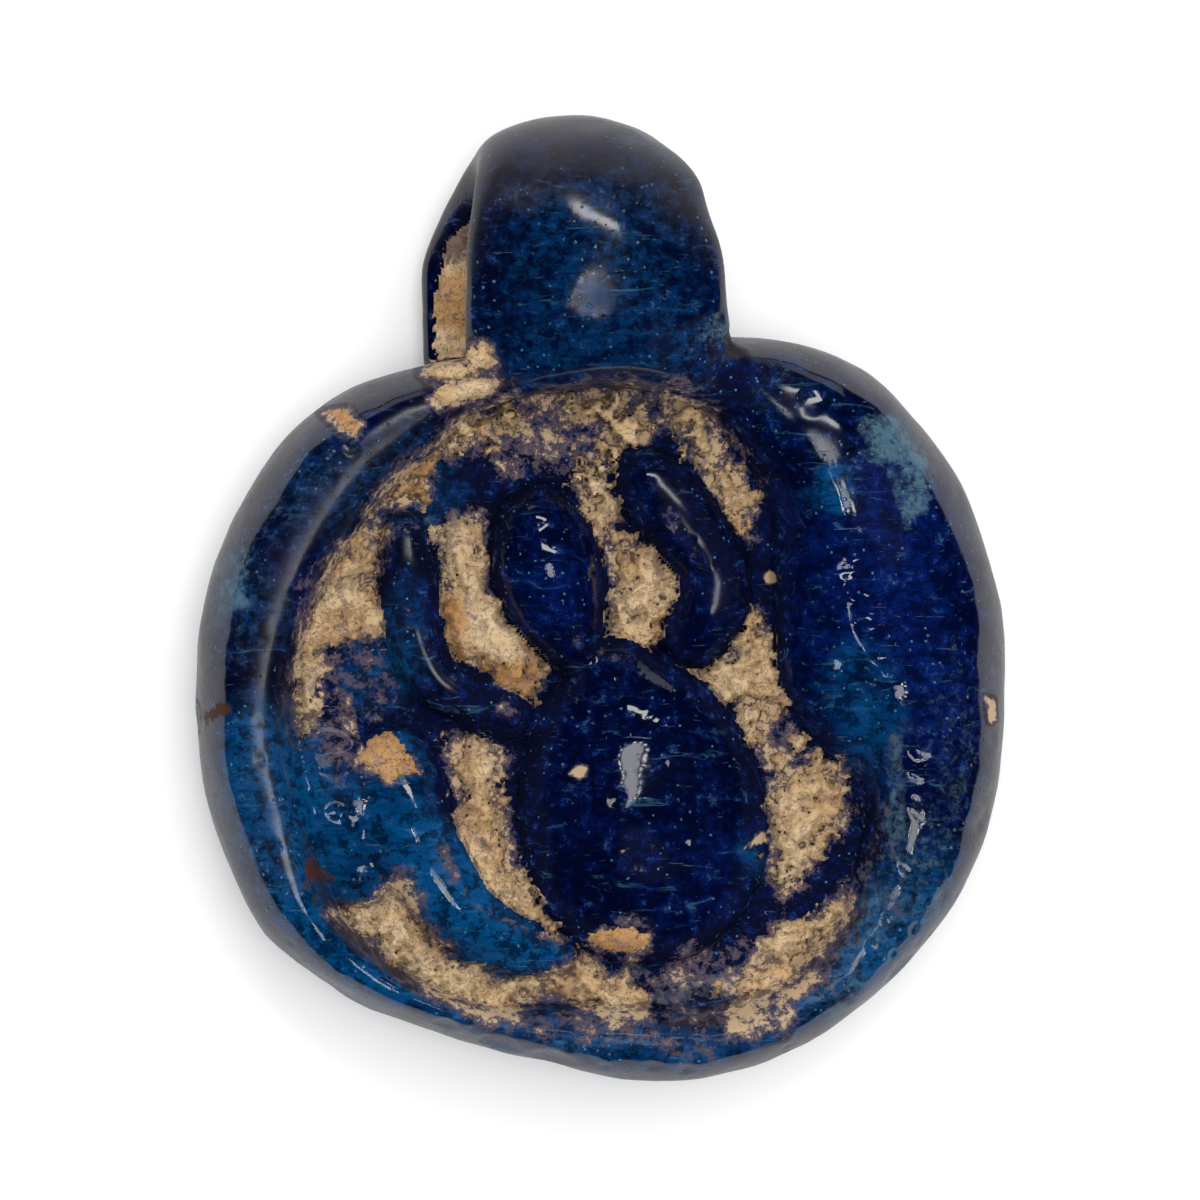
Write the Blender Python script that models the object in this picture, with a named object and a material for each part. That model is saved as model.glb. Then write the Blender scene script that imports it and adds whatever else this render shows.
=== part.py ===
"""A stamped glass pendant, made in one piece: a thick pad of cobalt glass, pressed on its front with a round
die that left a squat, four-legged figure, and a strap of the same glass folded forward into a loop.

The pendant lies on its back. Z is up, towards the stamped front, and Y runs from the pad to the loop. The
origin is on the flat back, under the middle of the pad. The sizes below are in millimetres.
"""

import math

import bmesh
import bpy
from mathutils import Vector

MM = 0.001
NODE_NAME = "glass_pendant"

# The pad
PAD_RADIUS = 10.0
PAD_THICKNESS = 4.9
WIDEST_HEIGHT = 2.3
BACK_INSET = 1.4
SIDE_FULLNESS = 0.92

# The impression of the die, and the figure that stands in it
DIE_CENTRE_X = -0.02
DIE_CENTRE_Y = 0.54
RIM_WIDTH = 2.62
IMPRESSION_DEPTH = 1.9
WALL_STEEPNESS = 2.2
FIGURE_HEIGHT = 2.0
LIMB_BLEND = 5.0
LIMB_ROUNDNESS = 0.8

# The loop: a strap folded over a hole that runs from left to right
LOOP_CENTRE_X = -0.75
LOOP_SKEW = 0.45
HOLE_LENGTH = 3.3
HOLE_DEPTH = 2.7
BACK_STRAP_THICKNESS = 1.5
FOLD_THICKNESS = 2.3
FRONT_STRAP_THICKNESS = 1.75
BACK_STRAP_WIDTH = 7.1
FOLD_WIDTH = 4.7
FRONT_STRAP_WIDTH = 6.3
STRAP_CORNER = 0.7
FOLD_CORNER = 0.95
FRONT_STRAP_CROWN = 1.0
FRONT_END_SINK = 0.5
FRONT_END_CROWN = 0.9
FRONT_END_FLARE = 0.8
FRONT_END_SETBACK = 0.12
FRONT_END_ROUNDING = 0.4
SHOULDER_BUMP = 0.3
SHOULDER_TURN = 57.0
SHOULDER_SPREAD = 17.0
ROOT_DEPTH = 1.4
LOOP_RISE = 0.25

# How finely the forms are divided
FIELD_CELLS = 50
RIM_WALL_RINGS = 3
RIM_OUTER_RINGS = 4
UNDERSIDE_RINGS = 2
SOFTENING_PASSES = 2
LOOP_SECTION_SIDES = 20
LOOP_STEPS = 24
LOOP_STRETCHES = ("front", "fold", "back")
BEAD_STEPS = 4

# The pad's outline about its middle: angle in degrees, share of the pad's radius
PAD_OUTLINE = (
    (0, 1.0), (20, 1.025), (36, 1.05), (50, 1.063), (63, 1.02), (76, 0.95), (90, 0.9), (104, 0.91),
    (117, 0.955), (130, 1.01), (141, 1.027), (160, 1.012), (190, 0.99), (213, 0.985), (225, 0.95),
    (241, 0.885), (259, 0.866), (272, 0.893), (285, 0.933), (310, 0.966), (335, 0.99),
)
# The impression's edge about its own middle: angle, share of the die's radius
DIE_OUTLINE = (
    (2, 0.8), (16, 0.66), (32, 0.68), (48, 0.8), (65, 0.95), (82, 1.03), (111, 1.01), (132, 0.96),
    (159, 0.975), (184, 1.02), (202, 1.02), (220, 1.13), (247, 1.1), (272, 1.03), (293, 1.12),
    (316, 1.08), (331, 0.96), (344, 0.85),
)
# The rim's crest: angle, share of the pad's thickness, share of the way from the impression to the outline
RIM_CREST = (
    (5, 1.0, 0.3), (48, 1.0, 0.45), (90, 0.9, 0.5), (130, 0.97, 0.38), (175, 0.95, 0.36),
    (207, 0.93, 0.46), (250, 0.86, 0.5), (290, 0.84, 0.5), (320, 0.88, 0.48), (345, 0.95, 0.42),
)
# The figure's limbs, each a row of beads: x, y and radius as shares of the die's radius, from its middle,
# and height as a share of the figure's
LIMBS = {
    "head": (
        (-0.215, 0.54, 0.155, 0.72), (-0.185, 0.42, 0.187, 0.86), (-0.145, 0.28, 0.16, 0.8),
        (-0.1, 0.15, 0.1, 0.62),
    ),
    "right_foreleg": (
        (0.155, 0.69, 0.125, 0.6), (0.245, 0.575, 0.135, 0.68), (0.36, 0.43, 0.13, 0.7),
        (0.37, 0.29, 0.13, 0.68), (0.3, 0.17, 0.11, 0.58),
    ),
    "left_foreleg": (
        (-0.66, 0.51, 0.085, 0.46), (-0.645, 0.36, 0.105, 0.58), (-0.625, 0.19, 0.105, 0.6),
        (-0.56, 0.05, 0.095, 0.58), (-0.445, -0.03, 0.09, 0.54), (-0.31, -0.085, 0.09, 0.52),
    ),
    "neck": ((0.035, 0.03, 0.17, 0.62), (0.07, -0.06, 0.22, 0.68), (0.09, -0.17, 0.3, 0.74)),
    "belly": ((0.11, -0.25, 0.38, 0.79), (0.125, -0.38, 0.41, 0.84), (0.14, -0.51, 0.405, 0.76)),
    "left_hind_leg": (
        (-0.71, -0.3, 0.14, 0.46), (-0.645, -0.47, 0.14, 0.6), (-0.55, -0.64, 0.125, 0.62),
        (-0.43, -0.77, 0.12, 0.6), (-0.27, -0.855, 0.09, 0.5), (-0.14, -0.875, 0.06, 0.36),
    ),
    "right_flank": (
        (0.74, 0.4, 0.19, 0.82), (0.78, 0.23, 0.2, 0.85), (0.79, 0.07, 0.19, 0.8), (0.83, -0.1, 0.14, 0.5),
    ),
}


# What the sizes above settle between them
DIE_RADIUS = PAD_RADIUS - RIM_WIDTH
FLOOR_HEIGHT = PAD_THICKNESS - IMPRESSION_DEPTH
LOOP_SIDE = math.pi / 2


def curve(a, b, c, d, t):
    """The value between b and c on a smooth curve through all four."""
    return b + 0.5 * t * (c - a + t * (2 * a - 5 * b + 4 * c - d + t * (3 * (b - c) + d - a)))


def around(table, angle, column=1):
    """Reads a column of a table by angle, on one smooth closed curve through its rows."""
    count = len(table)
    degrees = math.degrees(angle) % 360.0
    after = next((i for i, row in enumerate(table) if row[0] > degrees), count)
    rows = [table[(after + k) % count] for k in (-2, -1, 0, 1)]
    start = rows[1][0]
    t = ((degrees - start) % 360.0) / ((rows[2][0] - start) % 360.0)
    return curve(*(row[column] for row in rows), t)


def mix(a, b, t):
    return a + (b - a) * t


def curved(beads):
    """The same row of beads in smaller steps, on a smooth curve through them."""
    rows = (beads[0], *beads, beads[-1])
    finer = []
    for four in zip(rows, rows[1:], rows[2:], rows[3:]):
        for step in range(BEAD_STEPS):
            finer.append([curve(*values, step / BEAD_STEPS) for values in zip(*four)])
    return finer + [beads[-1]]


def limb_height(beads, x, y):
    """How high one limb stands at a point: a rounded ridge along its row of beads."""
    best = 0.0
    for (ax, ay, a_radius, a_height), (bx, by, b_radius, b_height) in zip(beads, beads[1:]):
        along_x, along_y = bx - ax, by - ay
        t = ((x - ax) * along_x + (y - ay) * along_y) / (along_x**2 + along_y**2)
        t = min(1.0, max(0.0, t))
        off = math.hypot(x - ax - t * along_x, y - ay - t * along_y) / mix(a_radius, b_radius, t)
        if off < 1.0:
            best = max(best, mix(a_height, b_height, t) * (1.0 - off * off) ** LIMB_ROUNDNESS)
    return best


CURVED_LIMBS = [curved(beads) for beads in LIMBS.values()]


def relief_height(x, y, wall_height=0.0):
    """The height of the impression at a point, where the wall round it stands wall_height over its floor.
    Limbs that meet each other or the wall flow together."""
    share_x = (x - DIE_CENTRE_X) / DIE_RADIUS
    share_y = (y - DIE_CENTRE_Y) / DIE_RADIUS
    heights = [FIGURE_HEIGHT * limb_height(beads, share_x, share_y) for beads in CURVED_LIMBS]
    total = sum(height**LIMB_BLEND for height in heights + [wall_height])
    return FLOOR_HEIGHT + total ** (1.0 / LIMB_BLEND)


def die_edge(angle):
    radius = DIE_RADIUS * around(DIE_OUTLINE, angle)
    return Vector((DIE_CENTRE_X + radius * math.cos(angle), DIE_CENTRE_Y + radius * math.sin(angle)))


def pad_edge(angle):
    radius = PAD_RADIUS * around(PAD_OUTLINE, angle)
    return Vector((radius * math.cos(angle), radius * math.sin(angle)))


def crest_height(angle):
    return PAD_THICKNESS * around(RIM_CREST, angle, 1)


def pad_point(angle, ring):
    """A point of the pad's skin. ring runs 0 to 1 from the die's middle to the impression's edge, 1 to 2 up
    the rim's inner wall to its crest, 2 to 3 over to the widest line, and 3 to 4 under to the flat back."""
    inner, outer = die_edge(angle), pad_edge(angle)
    crest = inner.lerp(outer, around(RIM_CREST, angle, 2))
    top = crest_height(angle)
    if ring <= 1.0:
        place = Vector((DIE_CENTRE_X, DIE_CENTRE_Y)).lerp(inner, ring)
        height = relief_height(place.x, place.y)
    elif ring <= 2.0:
        place = inner.lerp(crest, ring - 1.0)
        wall = (top - FLOOR_HEIGHT) * (1.0 - (2.0 - ring) ** WALL_STEEPNESS)
        height = relief_height(place.x, place.y, wall)
    elif ring <= 3.0:
        turn = (ring - 2.0) * math.pi / 2
        place = crest.lerp(outer, math.sin(turn) ** SIDE_FULLNESS)
        height = mix(WIDEST_HEIGHT, top, math.cos(turn) ** SIDE_FULLNESS)
    else:
        turn = (ring - 3.0) * math.pi / 2
        place = outer - outer.normalized() * BACK_INSET * (1.0 - math.cos(turn))
        height = WIDEST_HEIGHT * (1.0 - math.sin(turn))
    return Vector((place.x, place.y, height))


def make_pad():
    """The pad: a square sheet whose rings of cells are rounded into circles, with its border extruded ring
    by ring over the rim and closed below by the flat back. Each vertex then takes its place on the skin."""
    shape = bmesh.new()
    bmesh.ops.create_grid(shape, x_segments=FIELD_CELLS, y_segments=FIELD_CELLS, size=1.0)
    for vertex in shape.verts:
        reach = max(abs(vertex.co.x), abs(vertex.co.y))
        vertex.co = vertex.co.normalized() * reach
    field = shape.verts[:]
    rings = [1.0 + (k + 1) / RIM_WALL_RINGS for k in range(RIM_WALL_RINGS)]
    rings += [2.0 + (k + 1) / RIM_OUTER_RINGS for k in range(RIM_OUTER_RINGS)]
    rings += [3.0 + (k + 1) / UNDERSIDE_RINGS for k in range(UNDERSIDE_RINGS)]
    border = [edge for edge in shape.edges if edge.is_boundary]
    for ring in rings:
        made = bmesh.ops.extrude_edge_only(shape, edges=border)["geom"]
        border = [part for part in made if isinstance(part, bmesh.types.BMEdge) and part.is_boundary]
        for vertex in {vertex for edge in border for vertex in edge.verts}:
            vertex.co = vertex.co.normalized() * ring
    bmesh.ops.contextual_create(shape, geom=border)
    for vertex in shape.verts:
        angle = math.atan2(vertex.co.y, vertex.co.x)
        vertex.co = pad_point(angle, math.hypot(vertex.co.x, vertex.co.y))
    for _ in range(SOFTENING_PASSES):
        bmesh.ops.smooth_vert(shape, verts=field, factor=0.5, use_axis_z=True)
    bmesh.ops.recalc_face_normals(shape, faces=shape.faces)
    return shape


def strap_sizes(turn):
    """The strap's thickness, half width and middle X. turn is 0 at the front of the hole, a quarter turn at
    the fold and a half turn at the back."""
    front, fold, back = max(0.0, math.cos(turn)) ** 2, math.sin(turn) ** 2, max(0.0, -math.cos(turn)) ** 2
    thickness = front * FRONT_STRAP_THICKNESS + fold * FOLD_THICKNESS + back * BACK_STRAP_THICKNESS
    width = front * FRONT_STRAP_WIDTH + fold * FOLD_WIDTH + back * BACK_STRAP_WIDTH
    return thickness, width / 2, LOOP_CENTRE_X + LOOP_SKEW * front


def rounded(value, corner):
    return math.copysign(abs(value) ** corner, value)


def strap_point(along, section):
    """A point of the strap's skin. along runs 0 to 1 up the front, from the end that the die cut to the
    middle of the hole, 1 to 2 over the fold to the back, and 2 to 3 down the back into the pad. section goes
    round the strap itself. The strap's end lies on the rim, and its lower edge follows the impression."""
    run = max(0.0, 1.0 - along)
    root = max(0.0, along - 2.0)
    turn = math.pi * min(1.0, max(0.0, along - 1.0))
    thickness, half_width, middle = strap_sizes(turn)
    corner = mix(STRAP_CORNER, FOLD_CORNER, math.sin(turn))
    across, out = rounded(math.cos(section), corner), rounded(math.sin(section), corner)
    if out > 0.0:
        out *= math.sqrt(max(0.0, 1.0 - max(0.0, (run - 1.0) / FRONT_END_ROUNDING + 1.0) ** 2))
    reach = thickness * (0.5 + 0.5 * out)
    x = middle + half_width * across
    if across > 0.0:
        from_shoulder = (math.degrees(turn) - SHOULDER_TURN) / SHOULDER_SPREAD
        x += across * (FRONT_END_FLARE * run * run + SHOULDER_BUMP * math.exp(-from_shoulder**2))
    pad_top = pad_edge(LOOP_SIDE).y
    impression_top = DIE_CENTRE_Y + math.sqrt(max(0.0, DIE_RADIUS**2 - x * x))
    y = pad_top + HOLE_LENGTH / 2 + (HOLE_LENGTH / 2 + reach) * math.sin(turn)
    y = mix(y, impression_top + FRONT_END_SETBACK, run)
    y = mix(y, pad_top - ROOT_DEPTH, root)
    z = LOOP_RISE + BACK_STRAP_THICKNESS + HOLE_DEPTH / 2 + (HOLE_DEPTH / 2 + reach) * math.cos(turn)
    z = mix(z, crest_height(LOOP_SIDE) - FRONT_END_SINK + reach, run * run)
    z -= FRONT_STRAP_CROWN * max(0.0, math.cos(turn)) * across * across * reach / thickness
    z -= FRONT_END_CROWN * across**4 * run * run
    return Vector((x, y, z))


def make_loop():
    """The loop: a rod divided along its length, flattened into a strap and folded over the hole."""
    shape = bmesh.new()
    bmesh.ops.create_cone(
        shape, cap_ends=True, cap_tris=False, segments=LOOP_SECTION_SIDES, radius1=1.0, radius2=1.0, depth=1.0
    )
    lengthwise = [edge for edge in shape.edges if abs(edge.verts[0].co.z - edge.verts[1].co.z) > 0.5]
    bmesh.ops.subdivide_edges(shape, edges=lengthwise, cuts=LOOP_STEPS - 1, use_grid_fill=True)
    for vertex in shape.verts:
        along = (vertex.co.z + 0.5) * len(LOOP_STRETCHES)
        vertex.co = strap_point(along, math.atan2(vertex.co.y, vertex.co.x))
    bmesh.ops.recalc_face_normals(shape, faces=shape.faces)
    return shape


def cobalt_glass():
    material = bpy.data.materials.new("cobalt_glass")
    material.use_nodes = True
    shader = material.node_tree.nodes["Principled BSDF"]
    shader.inputs["Base Color"].default_value = (0.006, 0.03, 0.16, 1.0)
    shader.inputs["Roughness"].default_value = 0.12
    shader.inputs["Metallic"].default_value = 0.0
    shader.inputs["IOR"].default_value = 1.5
    return material


def add_object(name, shape, material):
    bmesh.ops.scale(shape, verts=shape.verts, vec=(MM, MM, MM))
    mesh = bpy.data.meshes.new(name)
    shape.to_mesh(mesh)
    shape.free()
    mesh.materials.append(material)
    mesh.shade_smooth()
    made = bpy.data.objects.new(name, mesh)
    bpy.context.scene.collection.objects.link(made)
    return made


def main():
    for old in list(bpy.data.objects):
        bpy.data.objects.remove(old)
    glass = cobalt_glass()
    pendant = add_object(NODE_NAME, make_pad(), glass)
    loop = add_object("loop_to_fuse", make_loop(), glass)
    loop.hide_render = True
    loop.display_type = "WIRE"
    fuse = pendant.modifiers.new("fuse_loop", "BOOLEAN")
    fuse.operation = "UNION"
    fuse.object = loop


main()
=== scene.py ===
# %% [markdown]
# A stamped glass pendant, about 20 mm across, lying on its back. The real one was made hot and in one go: a
# gather of cobalt glass was dropped on a slab, a strap was drawn up from it and folded forward into a loop,
# and a round die was pressed into the front. It has lain in the ground since, so tan soil fills its hollows.
# This lesson keeps that order: first the glass, then the soil, then what they look like.
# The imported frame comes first, because it says where everything goes.

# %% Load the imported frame
import math
import random

import bmesh
import bpy
import numpy as np
from mathutils import Matrix, Vector, noise
from mathutils.bvhtree import BVHTree


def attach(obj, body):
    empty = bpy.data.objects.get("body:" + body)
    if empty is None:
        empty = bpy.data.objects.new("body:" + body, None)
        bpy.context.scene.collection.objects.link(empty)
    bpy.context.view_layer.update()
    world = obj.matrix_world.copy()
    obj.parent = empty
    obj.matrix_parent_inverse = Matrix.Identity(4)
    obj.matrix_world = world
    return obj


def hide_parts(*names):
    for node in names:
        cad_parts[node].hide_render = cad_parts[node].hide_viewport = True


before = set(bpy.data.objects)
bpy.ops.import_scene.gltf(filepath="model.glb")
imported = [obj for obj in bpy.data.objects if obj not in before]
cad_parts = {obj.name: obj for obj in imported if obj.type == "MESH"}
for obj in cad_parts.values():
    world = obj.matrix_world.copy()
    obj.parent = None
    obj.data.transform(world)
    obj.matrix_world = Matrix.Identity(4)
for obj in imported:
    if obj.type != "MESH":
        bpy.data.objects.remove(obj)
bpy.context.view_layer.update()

MM = 0.001
print("packed nodes:", sorted(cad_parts))

# %% [markdown]
# The photograph looks straight down on the pendant, a few degrees from its left, through a long lens, so
# there is hardly any perspective. A short lens close by would make the loop look bigger than it is. The
# camera aims at the point of the pendant that is in the middle of the photograph.

# %% Camera
VIEW_WIDTH = 29.5
VIEW_DISTANCE = 300.0
VIEW_TILT = math.radians(4.0)
VIEW_AIM = Vector((-0.02, 2.75, 2.3))
SENSOR = 36.0


def linked(name, data):
    """A new object that holds the data, in the scene."""
    made = bpy.data.objects.new(name, data)
    bpy.context.scene.collection.objects.link(made)
    return made


camera_data = bpy.data.cameras.new("camera")
camera_data.sensor_width = SENSOR
camera_data.lens = SENSOR * VIEW_DISTANCE / VIEW_WIDTH
camera_data.clip_start = 0.01
camera = linked("camera", camera_data)
from_aim = Vector((-math.sin(VIEW_TILT), 0.0, math.cos(VIEW_TILT)))
camera.location = (VIEW_AIM + from_aim * VIEW_DISTANCE) * MM
camera.rotation_euler = (0.0, -VIEW_TILT, 0.0)
bpy.context.scene.camera = camera
print("lens in mm:", round(camera_data.lens, 1))

# %% [markdown]
# The glass has two forms, the pad and the loop. Both could be carved by sculpting, but a form that is worked
# out from a few sizes can be made as fine as the picture needs. These are the pendant's own sizes in
# millimetres, and the small tables say how its uneven outlines run round with the angle.

# %% Sizes of the glass, in millimetres
PAD_CENTRE = (0.0, 0.0)
PAD_RADIUS = 10.0
PAD_THICKNESS = 4.9
WIDEST_HEIGHT = 2.3
BACK_INSET = 1.4
SIDE_FULLNESS = 0.92
DIE_CENTRE = (-0.02, 0.54)
RIM_WIDTH = 2.62
IMPRESSION_DEPTH = 1.9
WALL_STEEPNESS = 2.2
FIGURE_HEIGHT = 2.0
LIMB_BLEND = 5.0
LIMB_ROUNDNESS = 0.5
DIE_RADIUS = PAD_RADIUS - RIM_WIDTH
FLOOR_HEIGHT = PAD_THICKNESS - IMPRESSION_DEPTH

PAD_OUTLINE = (
    (0, 1.0), (20, 1.025), (36, 1.05), (50, 1.063), (63, 1.02), (76, 0.95), (90, 0.9), (104, 0.91),
    (117, 0.955), (130, 1.01), (141, 1.027), (160, 1.012), (190, 0.99), (213, 0.985), (225, 0.95),
    (241, 0.885), (259, 0.866), (272, 0.893), (285, 0.933), (310, 0.966), (335, 0.99),
)
DIE_OUTLINE = (
    (2, 0.8), (16, 0.66), (32, 0.68), (48, 0.8), (65, 0.95), (82, 1.03), (111, 1.01), (132, 0.96),
    (159, 0.975), (184, 1.02), (202, 1.02), (220, 1.13), (247, 1.1), (272, 1.03), (293, 1.12),
    (316, 1.08), (331, 0.96), (344, 0.85),
)
RIM_CREST = (
    (5, 1.0, 0.26), (48, 0.96, 0.45), (90, 0.9, 0.5), (130, 0.97, 0.38), (175, 0.95, 0.36),
    (207, 0.93, 0.46), (250, 0.86, 0.5), (290, 0.84, 0.5), (320, 0.88, 0.48), (345, 0.95, 0.42),
)
LIMBS = {
    "head": (
        (-0.215, 0.54, 0.155, 0.72), (-0.185, 0.42, 0.187, 0.86), (-0.145, 0.28, 0.16, 0.8),
        (-0.1, 0.15, 0.1, 0.62),
    ),
    "right_foreleg": (
        (0.155, 0.69, 0.125, 0.6), (0.245, 0.575, 0.135, 0.68), (0.36, 0.43, 0.13, 0.7),
        (0.37, 0.29, 0.13, 0.68), (0.3, 0.17, 0.11, 0.58),
    ),
    "left_foreleg": (
        (-0.66, 0.51, 0.085, 0.46), (-0.645, 0.36, 0.105, 0.58), (-0.625, 0.19, 0.105, 0.6),
        (-0.56, 0.05, 0.095, 0.58), (-0.445, -0.03, 0.09, 0.54), (-0.31, -0.085, 0.09, 0.52),
    ),
    "neck": ((0.035, 0.03, 0.17, 0.62), (0.07, -0.06, 0.22, 0.68), (0.09, -0.17, 0.3, 0.74)),
    "belly": ((0.11, -0.25, 0.38, 0.79), (0.125, -0.38, 0.41, 0.84), (0.14, -0.51, 0.405, 0.76)),
    "left_hind_leg": (
        (-0.71, -0.28, 0.17, 0.46), (-0.65, -0.45, 0.17, 0.58), (-0.56, -0.62, 0.15, 0.62),
        (-0.44, -0.76, 0.13, 0.6), (-0.27, -0.85, 0.1, 0.5), (-0.14, -0.875, 0.06, 0.36),
    ),
    "left_haunch": ((-0.9, -0.2, 0.15, 0.3), (-0.88, -0.38, 0.18, 0.46), (-0.8, -0.58, 0.15, 0.36)),
    "right_flank": (
        (0.74, 0.4, 0.18, 0.74), (0.77, 0.23, 0.2, 0.84), (0.78, 0.07, 0.2, 0.88), (0.83, -0.1, 0.15, 0.6),
    ),
}
BEAD_STEPS = 4
print("limbs of the figure:", ", ".join(LIMBS))

# %% [markdown]
# A table by angle becomes a smooth closed curve through its rows. A limb is a row of beads with a rounded
# ridge drawn along it, and limbs that meet flow together as soft glass does. numpy works all points at once.

# %% Curves and limbs
def curve(a, b, c, d, t):
    """The value between b and c on a smooth curve through all four."""
    return b + 0.5 * t * (c - a + t * (2 * a - 5 * b + 4 * c - d + t * (3 * (b - c) + d - a)))


def around(table, degrees, column=1):
    rows = np.array(table)
    angles, values = rows[:, 0], rows[:, column]
    degrees = np.mod(degrees, 360.0)
    after = np.searchsorted(angles, degrees, side="right")
    a, b, c, d = (values[(after + k) % len(rows)] for k in (-2, -1, 0, 1))
    start = angles[(after - 1) % len(rows)]
    t = np.mod(degrees - start, 360.0) / np.mod(angles[after % len(rows)] - start, 360.0)
    return curve(a, b, c, d, t)


def mix(a, b, t):
    return a + (b - a) * t


def kept(value):
    """No lower than 0 and no higher than 1."""
    return np.clip(value, 0.0, 1.0)


def curved(beads):
    """The same row of beads in smaller steps, on a smooth curve through them."""
    rows = (beads[0], *beads, beads[-1])
    finer = []
    for four in zip(rows, rows[1:], rows[2:], rows[3:]):
        for step in range(BEAD_STEPS):
            finer.append([curve(*values, step / BEAD_STEPS) for values in zip(*four)])
    return finer + [beads[-1]]


def beads_near(beads, x, y):
    """For each point, how far off the row of beads it is as a share of the beads' radius there, and the
    bead's last value there."""
    best = np.full_like(x, 1e9)
    value = np.zeros_like(x)
    rows = beads if len(beads) > 1 else (beads[0], beads[0])
    for start, end in zip(rows, rows[1:]):
        along_x, along_y = end[0] - start[0], end[1] - start[1]
        length = max(1e-9, along_x**2 + along_y**2)
        t = kept(((x - start[0]) * along_x + (y - start[1]) * along_y) / length)
        off = np.hypot(x - start[0] - t * along_x, y - start[1] - t * along_y)
        off = off / mix(start[2], end[2], t)
        nearer = off < best
        value = np.where(nearer, mix(start[-1], end[-1], t), value)
        best = np.minimum(best, off)
    return best, value


def inside_by(outline, x, y):
    """How far each point is inside a closed outline. Outside it is less than 0."""
    nearest = np.full_like(x, 1e9)
    inside = np.zeros(x.shape, dtype=bool)
    for (ax, ay), (bx, by) in zip(outline, (*outline[1:], outline[0])):
        along_x, along_y = bx - ax, by - ay
        t = kept(((x - ax) * along_x + (y - ay) * along_y) / (along_x**2 + along_y**2))
        nearest = np.minimum(nearest, np.hypot(x - ax - t * along_x, y - ay - t * along_y))
        if along_y:
            inside ^= ((ay > y) != (by > y)) & (x < ax + along_x * (y - ay) / along_y)
    return np.where(inside, nearest, -nearest)


CURVED_LIMBS = [curved(beads) for beads in LIMBS.values()]


def relief_height(x, y, wall=0.0):
    share_x, share_y = (x - DIE_CENTRE[0]) / DIE_RADIUS, (y - DIE_CENTRE[1]) / DIE_RADIUS
    total = (np.zeros_like(x) + wall) ** LIMB_BLEND
    for beads in CURVED_LIMBS:
        off, height = beads_near(beads, share_x, share_y)
        ridge = height * kept(1.0 - off * off) ** LIMB_ROUNDNESS
        total = total + (FIGURE_HEIGHT * ridge) ** LIMB_BLEND
    return FLOOR_HEIGHT + total ** (1.0 / LIMB_BLEND)


def edge(outline, radius, centre, degrees):
    reach, turn = radius * around(outline, degrees), np.radians(degrees)
    return centre[0] + reach * np.cos(turn), centre[1] + reach * np.sin(turn)


top_edge = float(edge(PAD_OUTLINE, PAD_RADIUS, PAD_CENTRE, np.array([90.0]))[1][0])
print("the pad's top edge is at", round(top_edge, 2), "mm")

# %% [markdown]
# The pad is one skin: the sunken field, the rim's inner wall, its outer side, and the back. A square sheet
# rounded into a disc makes an even field, and its border is extruded ring by ring for the rest. Each vertex
# then moves to its place on the skin by two numbers, its angle and its ring.

# %% The pad
FIELD_CELLS = 168
WALL_RINGS = 14
OUTER_RINGS = 22
UNDER_RINGS = 8
BACK_RINGS = 10
BACK_HOLLOW = 0.12
HALF_TURN = math.pi
QUARTER_TURN = math.pi / 2


def pad_places(degrees, ring):
    """Where vertices go: ring 0 to 1 is the field, 1 to 2 the rim's inner wall, 2 to 3 its outer side down
    to the widest line, 3 to 4 the underside, and 4 to 5 the back."""
    inner_x, inner_y = edge(DIE_OUTLINE, DIE_RADIUS, DIE_CENTRE, degrees)
    outer_x, outer_y = edge(PAD_OUTLINE, PAD_RADIUS, PAD_CENTRE, degrees)
    share = around(RIM_CREST, degrees, 2)
    crest_x, crest_y = mix(inner_x, outer_x, share), mix(inner_y, outer_y, share)
    crest = PAD_THICKNESS * around(RIM_CREST, degrees)
    field, wall = kept(ring), kept(ring - 1.0)
    over, under = kept(ring - 2.0) * QUARTER_TURN, kept(ring - 3.0) * QUARTER_TURN
    back = kept(ring - 4.0)
    reach = np.sin(over) ** SIDE_FULLNESS
    x = mix(mix(mix(DIE_CENTRE[0], inner_x, field), crest_x, wall), outer_x, reach)
    y = mix(mix(mix(DIE_CENTRE[1], inner_y, field), crest_y, wall), outer_y, reach)
    inset = 1.0 - BACK_INSET * (1.0 - np.cos(under)) / np.hypot(outer_x, outer_y)
    x, y = x * inset * (1.0 - back), y * inset * (1.0 - back)
    rise = (crest - FLOOR_HEIGHT) * (1.0 - (1.0 - wall) ** WALL_STEEPNESS)
    z = relief_height(x, y, rise)
    z = np.where(ring > 2.0, mix(WIDEST_HEIGHT, crest, np.cos(over) ** SIDE_FULLNESS), z)
    z = np.where(ring > 3.0, WIDEST_HEIGHT * (1.0 - np.sin(under)), z)
    z = np.where(ring > 4.0, BACK_HOLLOW * np.sin(back * QUARTER_TURN) ** 2, z)
    return x, y, z


def place_vertices(shape, x, y, z):
    for vertex, place in zip(shape.verts, np.stack((x, y, z), axis=1).tolist()):
        vertex.co = place


def vertex_table(shape):
    return np.array([vertex.co[:] for vertex in shape.verts])


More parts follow.
